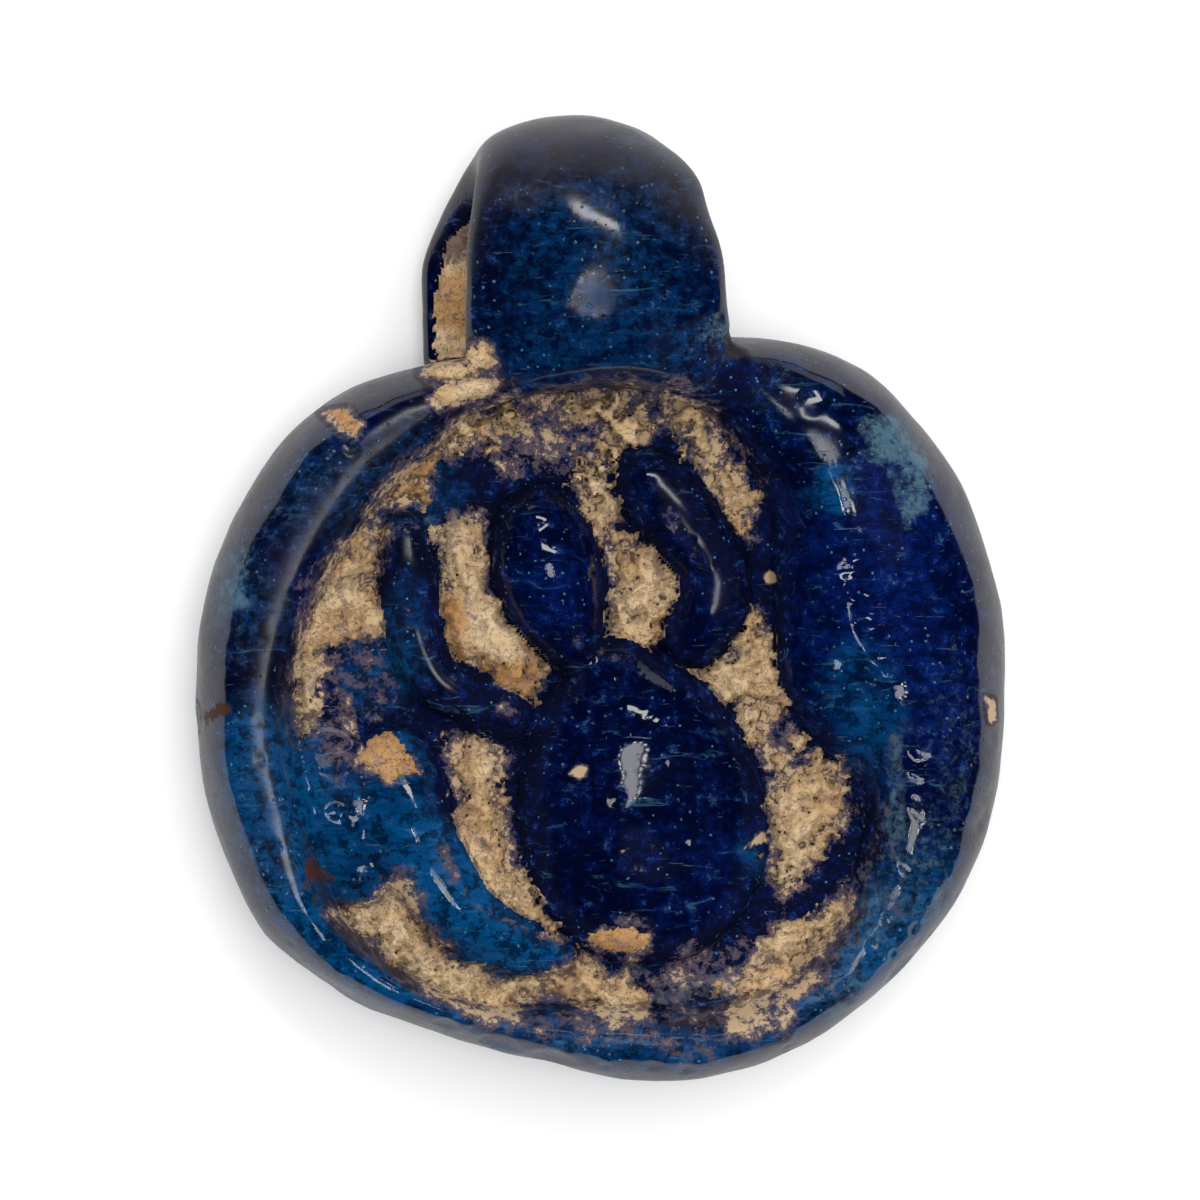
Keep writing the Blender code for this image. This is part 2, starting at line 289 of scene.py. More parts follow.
pad = bmesh.new()
bmesh.ops.create_grid(pad, x_segments=FIELD_CELLS, y_segments=FIELD_CELLS, size=1.0)
for vertex in pad.verts:
    vertex.co = vertex.co.normalized() * max(abs(vertex.co.x), abs(vertex.co.y))
border = [edge for edge in pad.edges if edge.is_boundary]
rings = []
for first, count in ((1, WALL_RINGS), (2, OUTER_RINGS), (3, UNDER_RINGS), (4, BACK_RINGS)):
    last = count + 1 if first < 4 else count
    rings += [first + k / count for k in range(1, last)]
for ring in rings:
    made = bmesh.ops.extrude_edge_only(pad, edges=border)["geom"]
    border = [part for part in made if isinstance(part, bmesh.types.BMEdge) and part.is_boundary]
    for vertex in {vertex for edge in border for vertex in edge.verts}:
        vertex.co = vertex.co.normalized() * ring
bmesh.ops.contextual_create(pad, geom=border)
flat_x, flat_y, _ = vertex_table(pad).T
place_vertices(pad, *pad_places(np.degrees(np.arctan2(flat_y, flat_x)), np.hypot(flat_x, flat_y)))
bmesh.ops.recalc_face_normals(pad, faces=pad.faces)
print("pad:", len(pad.faces), "faces")

# %% [markdown]
# The loop began as a rod of soft glass, flattened and folded forward over a wire. So it is modelled as one: a
# rod divided along its length, flattened into a strap, and folded. Its front end lies on the rim, where the
# die cut it off in an arc.

# %% The loop
LOOP_CENTRE_X = -0.75
LOOP_SKEW = 0.45
HOLE_LENGTH = 3.3
HOLE_DEPTH = 2.7
BACK_STRAP = (1.5, 7.1)
FOLD = (2.3, 4.7)
FRONT_STRAP = (1.75, 6.3)
STRAP_CORNER = 0.7
FOLD_CORNER = 0.95
FRONT_STRAP_CROWN = 1.0
FRONT_END_SINK = 0.5
FRONT_END_CROWN = 0.9
FRONT_END_FLARE = 0.8
FRONT_END_SETBACK = 0.12
FRONT_END_ROUNDING = 0.4
SHOULDER_BUMP = 0.3
SHOULDER_TURN = 57.0
SHOULDER_SPREAD = 17.0
ROOT_DEPTH = 1.4
LOOP_RISE = 0.25
LOOP_SIDES = 72
LOOP_STEPS = 120
LOOP_STRETCHES = ("front", "fold", "back")


def rounded(value, corner):
    return np.sign(value) * np.abs(value) ** corner


def strap_places(along, section):
    """along runs 0 to 1 up the front, 1 to 2 over the fold and 2 to 3 down the back into the pad."""
    run, root = kept(1.0 - along), kept(along - 2.0)
    turn = HALF_TURN * kept(along - 1.0)
    front, fold, back = kept(np.cos(turn)) ** 2, np.sin(turn) ** 2, kept(-np.cos(turn)) ** 2
    thickness, width = (front * FRONT_STRAP[k] + fold * FOLD[k] + back * BACK_STRAP[k] for k in (0, 1))
    corner = mix(STRAP_CORNER, FOLD_CORNER, np.sin(turn))
    across, out = rounded(np.cos(section), corner), rounded(np.sin(section), corner)
    end = np.sqrt(kept(1.0 - kept((run - 1.0) / FRONT_END_ROUNDING + 1.0) ** 2))
    out = np.where(out > 0.0, out * end, out)
    reach = thickness * (0.5 + 0.5 * out)
    from_shoulder = (np.degrees(turn) - SHOULDER_TURN) / SHOULDER_SPREAD
    widening = FRONT_END_FLARE * run * run + SHOULDER_BUMP * np.exp(-from_shoulder**2)
    x = LOOP_CENTRE_X + LOOP_SKEW * front + width / 2 * across + kept(across) * widening
    die_top = DIE_CENTRE[1] + np.sqrt(np.clip(DIE_RADIUS**2 - x * x, 0.0, None))
    y = top_edge + HOLE_LENGTH / 2 + (HOLE_LENGTH / 2 + reach) * np.sin(turn)
    y = mix(mix(y, die_top + FRONT_END_SETBACK, run), top_edge - ROOT_DEPTH, root)
    z = LOOP_RISE + BACK_STRAP[0] + HOLE_DEPTH / 2 + (HOLE_DEPTH / 2 + reach) * np.cos(turn)
    seat = PAD_THICKNESS * around(RIM_CREST, np.full_like(x, 90.0)) - FRONT_END_SINK
    z = mix(z, seat + reach, run * run)
    z -= FRONT_STRAP_CROWN * kept(np.cos(turn)) * across**2 * reach / thickness
    z -= FRONT_END_CROWN * across**4 * run**2
    return x, y, z


loop = bmesh.new()
bmesh.ops.create_cone(loop, cap_ends=True, segments=LOOP_SIDES, radius1=1.0, radius2=1.0, depth=1.0)
lengthwise = [edge for edge in loop.edges if abs(edge.verts[0].co.z - edge.verts[1].co.z) > 0.5]
bmesh.ops.subdivide_edges(loop, edges=lengthwise, cuts=LOOP_STEPS - 1, use_grid_fill=True)
rod = vertex_table(loop)
place_vertices(loop, *strap_places((rod[:, 2] + 0.5) * len(LOOP_STRETCHES), np.arctan2(rod[:, 1], rod[:, 0])))
bmesh.ops.recalc_face_normals(loop, faces=loop.faces)
print("loop:", len(loop.faces), "faces")

# %% [markdown]
# Where the strap touched the pad the hot glass ran together. A Boolean union makes the two one body but
# leaves a crease, so the vertices near both of the old skins are smoothed until the crease is a fillet.

# %% One body of glass
FILLET_REACH = 0.32
FILLET_PASSES = 30
CREASES_ABOVE = 6.0


def object_from(name, shape):
    mesh = bpy.data.meshes.new(name)
    shape.to_mesh(mesh)
    return linked(name, mesh)


def applied(piece):
    """The piece's mesh with its modifiers carried out, as a bmesh."""
    shape = bmesh.new()
    shape.from_object(piece, bpy.context.evaluated_depsgraph_get())
    return shape


pad_object, loop_object = object_from("pad_form", pad), object_from("loop_form", loop)
fuse = pad_object.modifiers.new("fuse", "BOOLEAN")
fuse.operation = "UNION"
fuse.object = loop_object
glass = applied(pad_object)
old_skins = [BVHTree.FromBMesh(pad), BVHTree.FromBMesh(loop)]
for spent in (pad_object, loop_object):
    bpy.data.objects.remove(spent)


def near_both(place):
    return all(skin.find_nearest(place, FILLET_REACH)[0] is not None for skin in old_skins)


crease = [vertex for vertex in glass.verts if vertex.co.y > CREASES_ABOVE and near_both(vertex.co)]
for _ in range(FILLET_PASSES):
    bmesh.ops.smooth_vert(glass, verts=crease, factor=0.5, use_axis_x=True, use_axis_y=True, use_axis_z=True)
print("glass:", len(glass.verts), "vertices,", len(crease), "in the fillets")

# %% [markdown]
# Hand-pressed glass is never true: it sags, cools unevenly, and burial pits and chips it. Moving each vertex
# along its normal by a slow noise gives the wandering highlights of old glass, and a few round bites out of
# the skin make pits and chips. The bites are real hollows, because a bump map can't change an outline.

# %% Unevenness, pits and chips
WAVE_HEIGHT = 0.085
WAVE_SIZE = 2.4
RIPPLE_HEIGHT = 0.014
RIPPLE_SIZE = 0.75
CHIPS = (
    (-2.6, -8.25, 3.6, 0.55, 0.16), (-1.3, -8.5, 3.4, 0.6, 0.14), (-3.9, -7.6, 3.9, 0.35, 0.1),
    (-9.8, -0.1, 2.6, 0.5, 0.2), (7.3, -6.3, 3.2, 0.5, 0.12), (8.9, -4.6, 3.4, 0.35, 0.1),
    (5.0, 7.6, 4.6, 0.4, 0.07), (-6.3, 6.9, 4.3, 0.35, 0.08), (2.3, -8.2, 3.9, 0.4, 0.1),
    (-8.7, 3.4, 3.7, 0.3, 0.07), (0.6, 14.0, 4.5, 0.4, 0.06), (2.4, 10.2, 5.7, 0.35, 0.06),
)
PIT_AREAS = (
    (70, (5.2, -6.8), (9.6, -0.6)), (22, (4.6, -0.5), (9.6, 7.6)), (22, (-9.6, -7.0), (-5.4, 0.5)),
    (10, (-9.6, 0.5), (-6.2, 7.4)), (26, (-4.5, -8.9), (5.5, -7.2)), (16, (-2.9, 8.2), (3.4, 14.4)),
    (22, (-2.5, -5.8), (3.9, 5.8)),
)
PIT_RADIUS = (0.11, 0.24)
PIT_SLOPE = 0.26
FLAT_BACK = 0.02
ABOVE_ALL = 9.0
DOWN = Vector((0.0, 0.0, -1.0))


def uneven(table, size, seed):
    shift = Vector((seed, 0.0, -seed))
    return np.array([noise.fractal(Vector(place) / size + shift, 1.0, 2.0, 2) for place in table.tolist()])


def bite(lift, table, place, radius, depth):
    off = np.linalg.norm(table - np.array(place), axis=1) / radius
    return lift - depth * kept(1.0 - off * off)


glass.normal_update()
smooth_skin = BVHTree.FromBMesh(glass)
skin = vertex_table(glass)
lift = WAVE_HEIGHT * uneven(skin, WAVE_SIZE, 3.7) + RIPPLE_HEIGHT * uneven(skin, RIPPLE_SIZE, 9.1)
for x, y, z, radius, depth in CHIPS:
    lift = bite(lift, skin, (x, y, z), radius, depth)
dice = random.Random(31)
pits = 0
for count, low, high in PIT_AREAS:
    for _ in range(count):
        above = Vector((dice.uniform(low[0], high[0]), dice.uniform(low[1], high[1]), ABOVE_ALL))
        hit = smooth_skin.ray_cast(above, DOWN)[0]
        radius = dice.uniform(*PIT_RADIUS)
        if hit is not None:
            lift = bite(lift, skin, hit, radius, PIT_SLOPE * radius)
            pits += 1
normals = np.array([vertex.normal[:] for vertex in glass.verts])
moved = skin + normals * lift[:, None]
moved[:, 2] = np.where(skin[:, 2] > FLAT_BACK, np.maximum(moved[:, 2], 0.0), skin[:, 2])
place_vertices(glass, *moved.T)
glass_skin = BVHTree.FromBMesh(glass)
print("chips:", len(CHIPS), "pits:", pits)

# %% [markdown]
# Soil settled in the hollows and dried, flat-topped where it is deep, thin and ragged up the sides. So each
# patch is a height over the stamp's floor, how worn its edge is, and a closed outline in millimetres. A
# sheet of small cells is raised to the soil's top, trimmed outside the outlines, and closed below. Painted
# soil would have no thickness and look right from above only.

# %% Soil in the hollows of the stamp
SOIL_CELL = 0.06
SOIL_SINK = 0.1
SOIL_CRUST = 0.04
FIELD_SOIL = {
    "under_loop_left": (0.75, 0.6, (
        (-3.9, 6.7), (-3.3, 7.2), (-2.4, 7.5), (-2.0, 7.3), (-2.1, 6.9), (-2.7, 6.7), (-3.3, 6.4),
        (-3.8, 6.3),
    )),
    "under_loop_middle": (0.8, 0.55, (
        (-0.9, 7.7), (-0.3, 7.9), (0.3, 7.8), (0.9, 7.6), (1.2, 7.0), (1.1, 6.8), (0.7, 6.3), (0.35, 5.9),
        (0.3, 5.1), (0.1, 4.9), (-0.4, 5.2), (-0.6, 5.7), (-0.3, 6.3), (0.1, 6.6), (-0.2, 7.1), (-0.8, 7.2),
    )),
    "under_loop_right": (0.75, 0.6, (
        (1.6, 7.3), (2.2, 7.7), (2.6, 7.5), (2.7, 7.0), (2.9, 6.5), (3.0, 6.1), (2.6, 6.0), (2.2, 6.3),
        (2.1, 6.8), (1.7, 6.9),
    )),
    "right_of_foreleg": (0.6, 0.3, (
        (2.7, 5.9), (3.1, 6.2), (3.35, 5.7), (3.65, 5.4), (3.6, 4.9), (3.5, 4.4), (3.2, 4.5), (3.0, 4.9),
        (2.85, 5.3), (2.6, 5.6),
    )),
    "head_to_right_foreleg": (0.72, 0.3, (
        (-0.5, 5.6), (0.2, 5.9), (0.35, 5.2), (0.2, 4.6), (0.5, 4.2), (0.9, 4.0), (1.2, 4.6), (1.35, 4.7),
        (1.5, 4.2), (1.7, 3.9), (1.95, 3.5), (1.9, 3.0), (1.6, 2.4), (1.4, 1.9), (1.2, 1.5), (0.8, 1.35),
        (0.3, 1.6), (-0.1, 1.65), (-0.35, 1.9), (-0.1, 2.2), (0.1, 2.7), (0.5, 3.0), (0.25, 3.4),
        (0.1, 3.8), (-0.1, 4.3), (-0.45, 4.9),
    )),
    "head_to_left_foreleg": (0.75, 0.12, (
        (-3.4, 4.8), (-3.1, 4.8), (-2.95, 4.3), (-2.8, 3.6), (-2.95, 3.1), (-2.6, 2.7), (-2.3, 2.3),
        (-1.9, 1.9), (-1.5, 1.5), (-1.2, 1.25), (-1.6, 1.15), (-1.7, 0.9), (-1.6, 0.5), (-1.8, 0.1),
        (-2.1, 0.0), (-2.4, 0.15), (-2.6, 0.6), (-2.8, 1.05), (-3.5, 1.3), (-3.9, 1.6), (-4.0, 2.2),
        (-4.0, 2.7), (-3.8, 3.2), (-3.9, 3.7), (-4.1, 4.0), (-3.95, 4.5),
    )),
    "upper_left_groove": (0.6, 0.3, (
        (-4.1, 6.5), (-4.4, 5.8), (-4.5, 5.3), (-4.9, 5.25), (-5.4, 5.1), (-5.8, 5.05), (-5.6, 5.4),
        (-5.0, 5.7), (-4.5, 6.1),
    )),
    "left_groove": (0.7, 0.15, (
        (-6.2, 4.3), (-5.9, 4.5), (-5.65, 4.1), (-5.8, 3.5), (-5.9, 3.2), (-5.6, 2.9), (-5.3, 2.4),
        (-5.2, 2.0), (-5.4, 1.75), (-6.1, 1.9), (-6.6, 1.9), (-6.85, 1.6), (-6.95, 0.9), (-7.0, 0.2),
        (-7.1, -0.4), (-7.4, -0.5), (-7.5, 0.3), (-7.6, 1.2), (-7.5, 2.1), (-7.2, 2.7), (-6.8, 3.2),
        (-6.6, 3.8),
    )),
    "right_of_neck": (0.65, 0.4, (
        (3.7, 2.5), (3.4, 2.0), (3.1, 1.6), (2.6, 1.2), (2.2, 1.1), (2.2, 0.7), (2.5, 0.3), (2.8, 0.05),
        (3.2, 0.1), (3.4, -0.1), (3.6, -0.5), (3.7, -0.85), (3.9, -0.6), (4.1, -0.1), (4.3, 0.1),
        (4.6, 0.2), (4.6, 0.8), (4.4, 1.3), (4.2, 1.7), (3.9, 2.1),
    )),
    "right_crumbs": (0.45, 0.65, (
        (4.0, -0.8), (4.4, -0.95), (4.9, -0.6), (5.0, -1.1), (4.6, -1.2), (4.15, -1.3),
    )),
    "right_of_belly": (0.7, 0.3, (
        (4.2, -1.75), (4.5, -1.5), (5.0, -1.55), (5.3, -1.2), (5.6, -1.05), (5.85, -1.2), (5.8, -1.8),
        (5.95, -2.4), (5.7, -2.8), (5.5, -3.2), (5.1, -3.6), (4.8, -3.9), (4.4, -4.5), (4.25, -4.2),
        (4.2, -3.4), (4.1, -2.8), (4.1, -2.2),
    )),
    "belly_to_hind_leg": (0.75, 0.2, (
        (-3.6, -0.8), (-3.2, -0.5), (-2.7, -0.7), (-2.5, -1.2), (-2.6, -1.8), (-2.5, -2.4), (-2.4, -3.1),
        (-2.3, -3.8), (-1.9, -4.2), (-1.6, -4.7), (-1.35, -5.1), (-1.1, -5.45), (-1.6, -5.3), (-2.2, -5.0),
        (-2.8, -4.7), (-3.3, -4.2), (-3.8, -3.7), (-3.9, -3.0), (-3.55, -2.3), (-3.5, -1.7), (-3.6, -1.2),
    )),
    "lower_groove": (0.75, 0.15, (
        (-6.5, -4.9), (-5.6, -4.8), (-5.3, -4.3), (-4.9, -4.1), (-4.7, -4.6), (-4.5, -5.3), (-4.0, -5.9),
        (-3.4, -6.3), (-2.4, -6.6), (-1.5, -6.6), (-0.9, -6.3), (-0.5, -6.0), (-0.1, -6.2), (0.0, -6.5),
        (0.6, -6.6), (1.1, -6.9), (0.9, -7.4), (0.3, -7.6), (-0.2, -7.3), (-0.9, -6.9), (-1.8, -6.9),
        (-2.2, -7.0), (-2.2, -7.5), (-2.9, -7.4), (-3.6, -7.1), (-4.4, -6.7), (-5.0, -6.2), (-5.6, -5.6),
        (-6.0, -5.2),
    )),
    "lower_right_groove": (0.6, 0.35, (
        (4.3, -5.2), (4.9, -5.2), (5.4, -4.9), (5.9, -4.6), (6.0, -4.9), (5.5, -5.5), (5.0, -6.1),
        (5.2, -6.4), (5.0, -6.8), (4.5, -7.2), (4.2, -7.7), (3.4, -7.9), (3.1, -7.6), (3.2, -7.1),
        (2.9, -6.8), (3.3, -6.5), (3.8, -6.2), (3.6, -6.0), (4.0, -5.7),
    )),
}
CRUMB_SIZE = 0.16
CLOD_SIZE = 0.75
GRIT_SIZE = 0.1
SOIL_WEAR_SIZE = 0.42
SOIL_WANDER = 0.15
SOIL_RAGGED = 0.14
SOIL_SLOPE = 0.5
SOIL_FILL = 0.7
SOIL_CREEP = 0.15
SOIL_CLIMB = (0.06, 0.2)
SOIL_STEP = 0.3
SOIL_LOWEST = 0.5
STAMP_BOX = ((-8.0, -8.2), (6.4, 8.2))


def soil_noise(x, y, size, seed, octaves=3):
    return np.array([
        noise.fractal(Vector((a / size, b / size, seed)), 1.0, 2.0, octaves)
        for a, b in zip(x.tolist(), y.tolist())
    ])


def glass_under(x, y, start):
    """The height of the first glass straight below each point, or -1 where there is none."""
    hits = (glass_skin.ray_cast(Vector((a, b, start)), DOWN)[0] for a, b in zip(x.tolist(), y.tolist()))
    return np.array([hit.z if hit else -1.0 for hit in hits])


def soil_sheet(low, high, top_of, start):
    """A closed crust of soil over the rectangle from low to high, where top_of gives the height of its top
    at each point. Glass that is higher stays bare."""
    across, up = high[0] - low[0], high[1] - low[1]
    shape = bmesh.new()
    bmesh.ops.create_grid(shape, x_segments=int(across / SOIL_CELL), y_segments=int(up / SOIL_CELL), size=0.5)
    bmesh.ops.scale(shape, vec=(across, up, 1.0), verts=shape.verts)
    bmesh.ops.translate(shape, vec=(low[0] + across / 2, low[1] + up / 2, 0.0), verts=shape.verts)
    sheet = vertex_table(shape)
    ground = glass_under(sheet[:, 0], sheet[:, 1], start)
    top = top_of(sheet[:, 0], sheet[:, 1], ground)
    shows = (top > ground) & (ground > 0.0)
    top = np.maximum(top, ground - SOIL_SINK)
    place_vertices(shape, sheet[:, 0], sheet[:, 1], top)
    shape.verts.ensure_lookup_table()
    bare = []
    for face in shape.faces:
        corners = [vertex.index for vertex in face.verts]
        hangs = ground[corners].min() < SOIL_LOWEST or np.ptp(top[corners]) > SOIL_STEP
        if hangs or not shows[corners].any():
            bare.append(face)
    bmesh.ops.delete(shape, geom=bare, context="FACES")
    bottom = bmesh.ops.extrude_face_region(shape, geom=shape.faces[:], use_keep_orig=True)["geom"]
    below = [part for part in bottom if isinstance(part, bmesh.types.BMVert)]
    bmesh.ops.translate(shape, vec=(0.0, 0.0, -SOIL_SINK * 2), verts=below)
    bmesh.ops.recalc_face_normals(shape, faces=shape.faces)
    return shape


def field_soil_top(x, y, ground):
    crumbs, clods = soil_noise(x, y, CRUMB_SIZE, 4.0), soil_noise(x, y, CLOD_SIZE, 8.0)
    worn, grit = soil_noise(x, y, SOIL_WEAR_SIZE, 21.0, 5), soil_noise(x, y, GRIT_SIZE, 27.0)
    top = ground - SOIL_SINK
    for height, wear, outline in FIELD_SOIL.values():
        level = SOIL_FILL * height
        inside = inside_by(outline, x + SOIL_WANDER * clods, y - SOIL_WANDER * clods)
        inside = np.minimum(inside + SOIL_RAGGED * crumbs + SOIL_CREEP, SOIL_SLOPE)
        inside = inside + (wear + 0.1) * (1.3 * worn - 0.2) + 0.1 * grit
        inside -= kept((ground - FLOOR_HEIGHT - level - SOIL_CLIMB[0]) / SOIL_CLIMB[1])
        rise = kept(inside / SOIL_SLOPE)
        crust = ground + SOIL_CRUST * (0.3 + rise) + 0.015 * crumbs * rise
        filled = FLOOR_HEIGHT + level * rise + 0.04 * clods + 0.02 * crumbs - 0.06
        top = np.where(inside > 0.0, np.maximum(top, np.maximum(crust, filled)), top)
    return top


field_soil = soil_sheet(*STAMP_BOX, field_soil_top, ABOVE_ALL)
print("soil in the stamp:", len(field_soil.faces), "faces")

# %% [markdown]
# Inside the loop the soil lines the back strap and shows in the left mouth of the hole. A ledge of it sits
# on the rim beside the strap's end, and three smaller patches cling to the figure and the rim. These follow
# the glass under them instead of a level, so their height is counted from the glass.

# %% Soil in the loop and on the rim
LINING = (
    (0.95, ((-3.75, 8.2), (-1.0, 8.2), (0.5, 9.4), (-0.6, 11.4), (-2.0, 12.1), (-3.0, 12.25), (-3.75, 11.6),
            (-4.1, 10.2), (-4.05, 8.9))),
)
CLINGING = (
    (0.28, ((-4.15, 8.0), (-3.0, 8.15), (-2.7, 8.0), (-2.9, 7.75), (-3.5, 7.6), (-4.0, 7.5), (-4.2, 7.7))),
    (0.34, ((-4.5, 8.25), (-4.3, 8.6), (-3.6, 8.85), (-3.0, 8.95), (-2.8, 8.55), (-3.2, 8.3), (-3.8, 8.1))),
    (0.14, ((-0.4, -5.4), (0.1, -5.3), (0.6, -5.25), (1.1, -5.4), (1.05, -5.7), (0.7, -5.9), (0.1, -5.85),
            (-0.3, -5.65))),
    (0.12, ((-5.7, -0.6), (-5.3, -0.4), (-4.9, -0.8), (-4.7, -1.2), (-4.5, -1.5), (-5.0, -1.5), (-5.3, -1.75),
            (-5.7, -1.4), (-6.1, -1.15))),
    (0.05, ((-6.9, 7.4), (-6.4, 7.45), (-6.0, 7.05), (-6.1, 6.75), (-6.5, 6.95))),
)
CLINGING_BOX = ((-7.2, -6.2), (9.8, 9.2))
LINING_BOX = ((-4.25, 8.1), (0.6, 12.3))
RIM_SOIL_SLOPE = 0.3
LINING_SLOPE = 1.2
IN_THE_HOLE = 3.9


def clinging_top(patches, slope):
    def top_of(x, y, ground):
        crumbs, clods = soil_noise(x, y, CRUMB_SIZE, 14.0), soil_noise(x, y, CLOD_SIZE, 18.0)
        top = ground - SOIL_SINK
        for height, outline in patches:
            inside = inside_by(outline, x, y) + 0.07 * crumbs + 0.04 * clods
            rise = kept(inside / slope) ** 0.5
            cover = rise * (height * (1.0 + 0.3 * clods) + 0.05 * crumbs)
            top = np.where(inside > 0.0, np.maximum(top, ground + cover), top)
        return top
    return top_of


rim_soil = soil_sheet(*CLINGING_BOX, clinging_top(CLINGING, RIM_SOIL_SLOPE), ABOVE_ALL)
loop_soil = soil_sheet(*LINING_BOX, clinging_top(LINING, LINING_SLOPE), IN_THE_HOLE)
print("soil on the rim:", len(rim_soil.faces), "faces; in the loop:", len(loop_soil.faces), "faces")

# %% [markdown]
# The glass isn't one colour. Where light comes through it glows royal blue or azure, and that glow is painted
# light in its colour; the loop is nearer teal, and weathering leaves pale patches. The steep sides carry a
# grey-brown veil that is dust and also a painted reflection of the pale room. Such areas are soft-edged
# places on the object, so each is worked out at the vertices and stored as an attribute that the material
# reads.
# Rows of beads and closed outlines say where they are, as before.

# %% Where the glass changes
# azure and royal are painted light: the glow where light shining through the thinner glass comes out. teal,
# bloom and rust are the glass's own colour and weathering, and satin is dullness.
GLOW_AND_WEATHERING = {
    "azure_glow": (
        ((-8.3, -1.0, 1.7, 0.9), (-7.4, -3.6, 2.2, 1.0), (-5.6, -6.4, 1.5, 0.9)),
        ((-5.6, -2.2, 1.7, 1.0), (-4.3, -4.0, 1.3, 1.0), (-3.0, -5.6, 1.2, 0.95), (-1.4, -6.0, 0.8, 0.8)),
        ((-5.4, 0.9, 1.1, 0.6), (-5.2, 2.6, 0.8, 0.3)), ((-3.5, -7.6, 1.0, 0.6), (0.5, -8.3, 1.2, 0.7)),
        ((2.2, -8.4, 1.0, 0.5), (6.0, -6.6, 1.2, 0.6), (8.0, -4.2, 1.4, 0.5)),
        ((5.5, 5.6, 0.8, 1.2), (5.6, 5.2, 0.7, 1.1)),
        ((6.1, 0.8, 1.2, 0.6), (6.5, -0.6, 1.1, 0.6)), ((3.7, -3.7, 0.6, 0.35),),
    ),
    "royal_glow": (
        ((6.3, 3.6, 3.0, 1.0), (6.9, 0.4, 2.8, 0.9)), ((-1.4, 3.0, 1.3, 0.7),), ((-0.6, 8.4, 2.4, 0.6),),
        ((-7.3, 3.4, 1.5, 0.4),), ((-4.6, 2.4, 0.9, 0.6),), ((2.4, -3.6, 1.6, 0.35),),
        ((2.8, 2.6, 0.8, 0.4),),
    ),
    "teal": (
        ((-8.6, -2.0, 1.6, 0.6), (-7.0, -5.4, 1.4, 0.6), (-3.4, -8.0, 1.4, 0.5), (1.6, -8.6, 1.4, 0.6)),
        ((-0.3, 9.2, 3.2, 0.95), (-0.2, 12.0, 2.8, 0.9)), ((3.1, 9.6, 1.1, 0.9),), ((-8.9, 2.6, 1.4, 0.9),),
        ((-4.6, 5.6, 1.6, 0.7), (-7.2, 5.4, 1.6, 0.6)), ((4.9, 7.6, 1.5, 0.2),), ((8.4, -5.0, 1.6, 0.5),),
    ),
    "bloom": (
        ((6.8, 7.2, 0.6, 0.75), (7.2, 6.4, 0.8, 0.85), (7.7, 5.2, 0.6, 0.75)),
        ((-9.2, 2.7, 0.7, 0.8), (-8.7, 4.2, 0.5, 0.4)),
        ((7.15, -0.9, 0.6, 0.45), (7.1, -3.6, 0.6, 0.5)), ((9.65, 1.1, 0.3, 0.6),), ((9.5, -1.9, 0.35, 0.7),),
        ((8.4, 1.4, 1.2, 0.34), (8.7, -1.6, 1.3, 0.42), (7.6, -4.2, 1.5, 0.48), (5.6, -7.2, 1.2, 0.4)),
        ((2.9, 11.0, 0.7, 0.42), (3.3, 9.6, 0.7, 0.5), (2.2, 8.9, 0.8, 0.36)), ((-2.2, 12.5, 1.0, 0.3),),
        ((-6.4, 6.6, 1.0, 0.36), (-8.2, 4.6, 1.2, 0.36), (-9.2, 1.2, 1.0, 0.34)), ((4.6, 8.2, 1.4, 0.3),),
        ((-6.2, 0.8, 0.9, 0.5),), ((-4.1, 4.9, 0.5, 0.8),), ((6.2, 6.0, 0.6, 0.3),),
    ),
    "rust": (
        ((-9.7, -0.1, 0.45, 0.8),), ((-7.35, -3.85, 0.3, 0.75), (-6.75, -4.1, 0.2, 0.65)),
        ((9.55, 0.15, 0.3, 0.5),), ((8.9, 1.7, 0.15, 0.8),),
    ),
    "satin": (
        ((4.6, 7.4, 0.5, 0.4), (5.0, 7.0, 0.55, 0.45), (5.5, 6.6, 0.5, 0.4)),
        ((-5.1, 4.6, 0.8, 0.7), (-4.9, 3.0, 0.8, 0.7), (-4.4, 1.6, 0.8, 0.6), (-3.2, 0.4, 0.8, 0.5)),
        ((1.6, 5.4, 0.8, 0.6), (2.6, 4.2, 0.8, 0.7), (3.0, 2.6, 0.8, 0.7)), ((0.9, -1.9, 1.4, 0.12),),
        ((-0.2, 10.3, 1.0, 0.55), (-0.3, 12.0, 0.9, 0.25)),
        ((-3.6, 11.4, 0.9, 0.7), (-2.6, 12.9, 1.2, 1.0), (-0.6, 13.5, 1.4, 1.0), (1.0, 13.2, 1.3, 1.0),
         (2.4, 12.0, 1.0, 0.9), (3.3, 10.6, 0.9, 0.8), (3.5, 9.2, 0.9, 0.7)),
        ((-3.6, 7.5, 0.9, 0.8), (-4.9, 6.7, 1.0, 1.0), (-6.6, 5.2, 1.0, 1.0), (-7.7, 3.4, 1.0, 1.0),
         (-8.3, 1.2, 1.0, 0.9), (-8.5, -1.0, 1.0, 0.8), (-8.0, -3.6, 0.9, 0.6)),
    ),
}
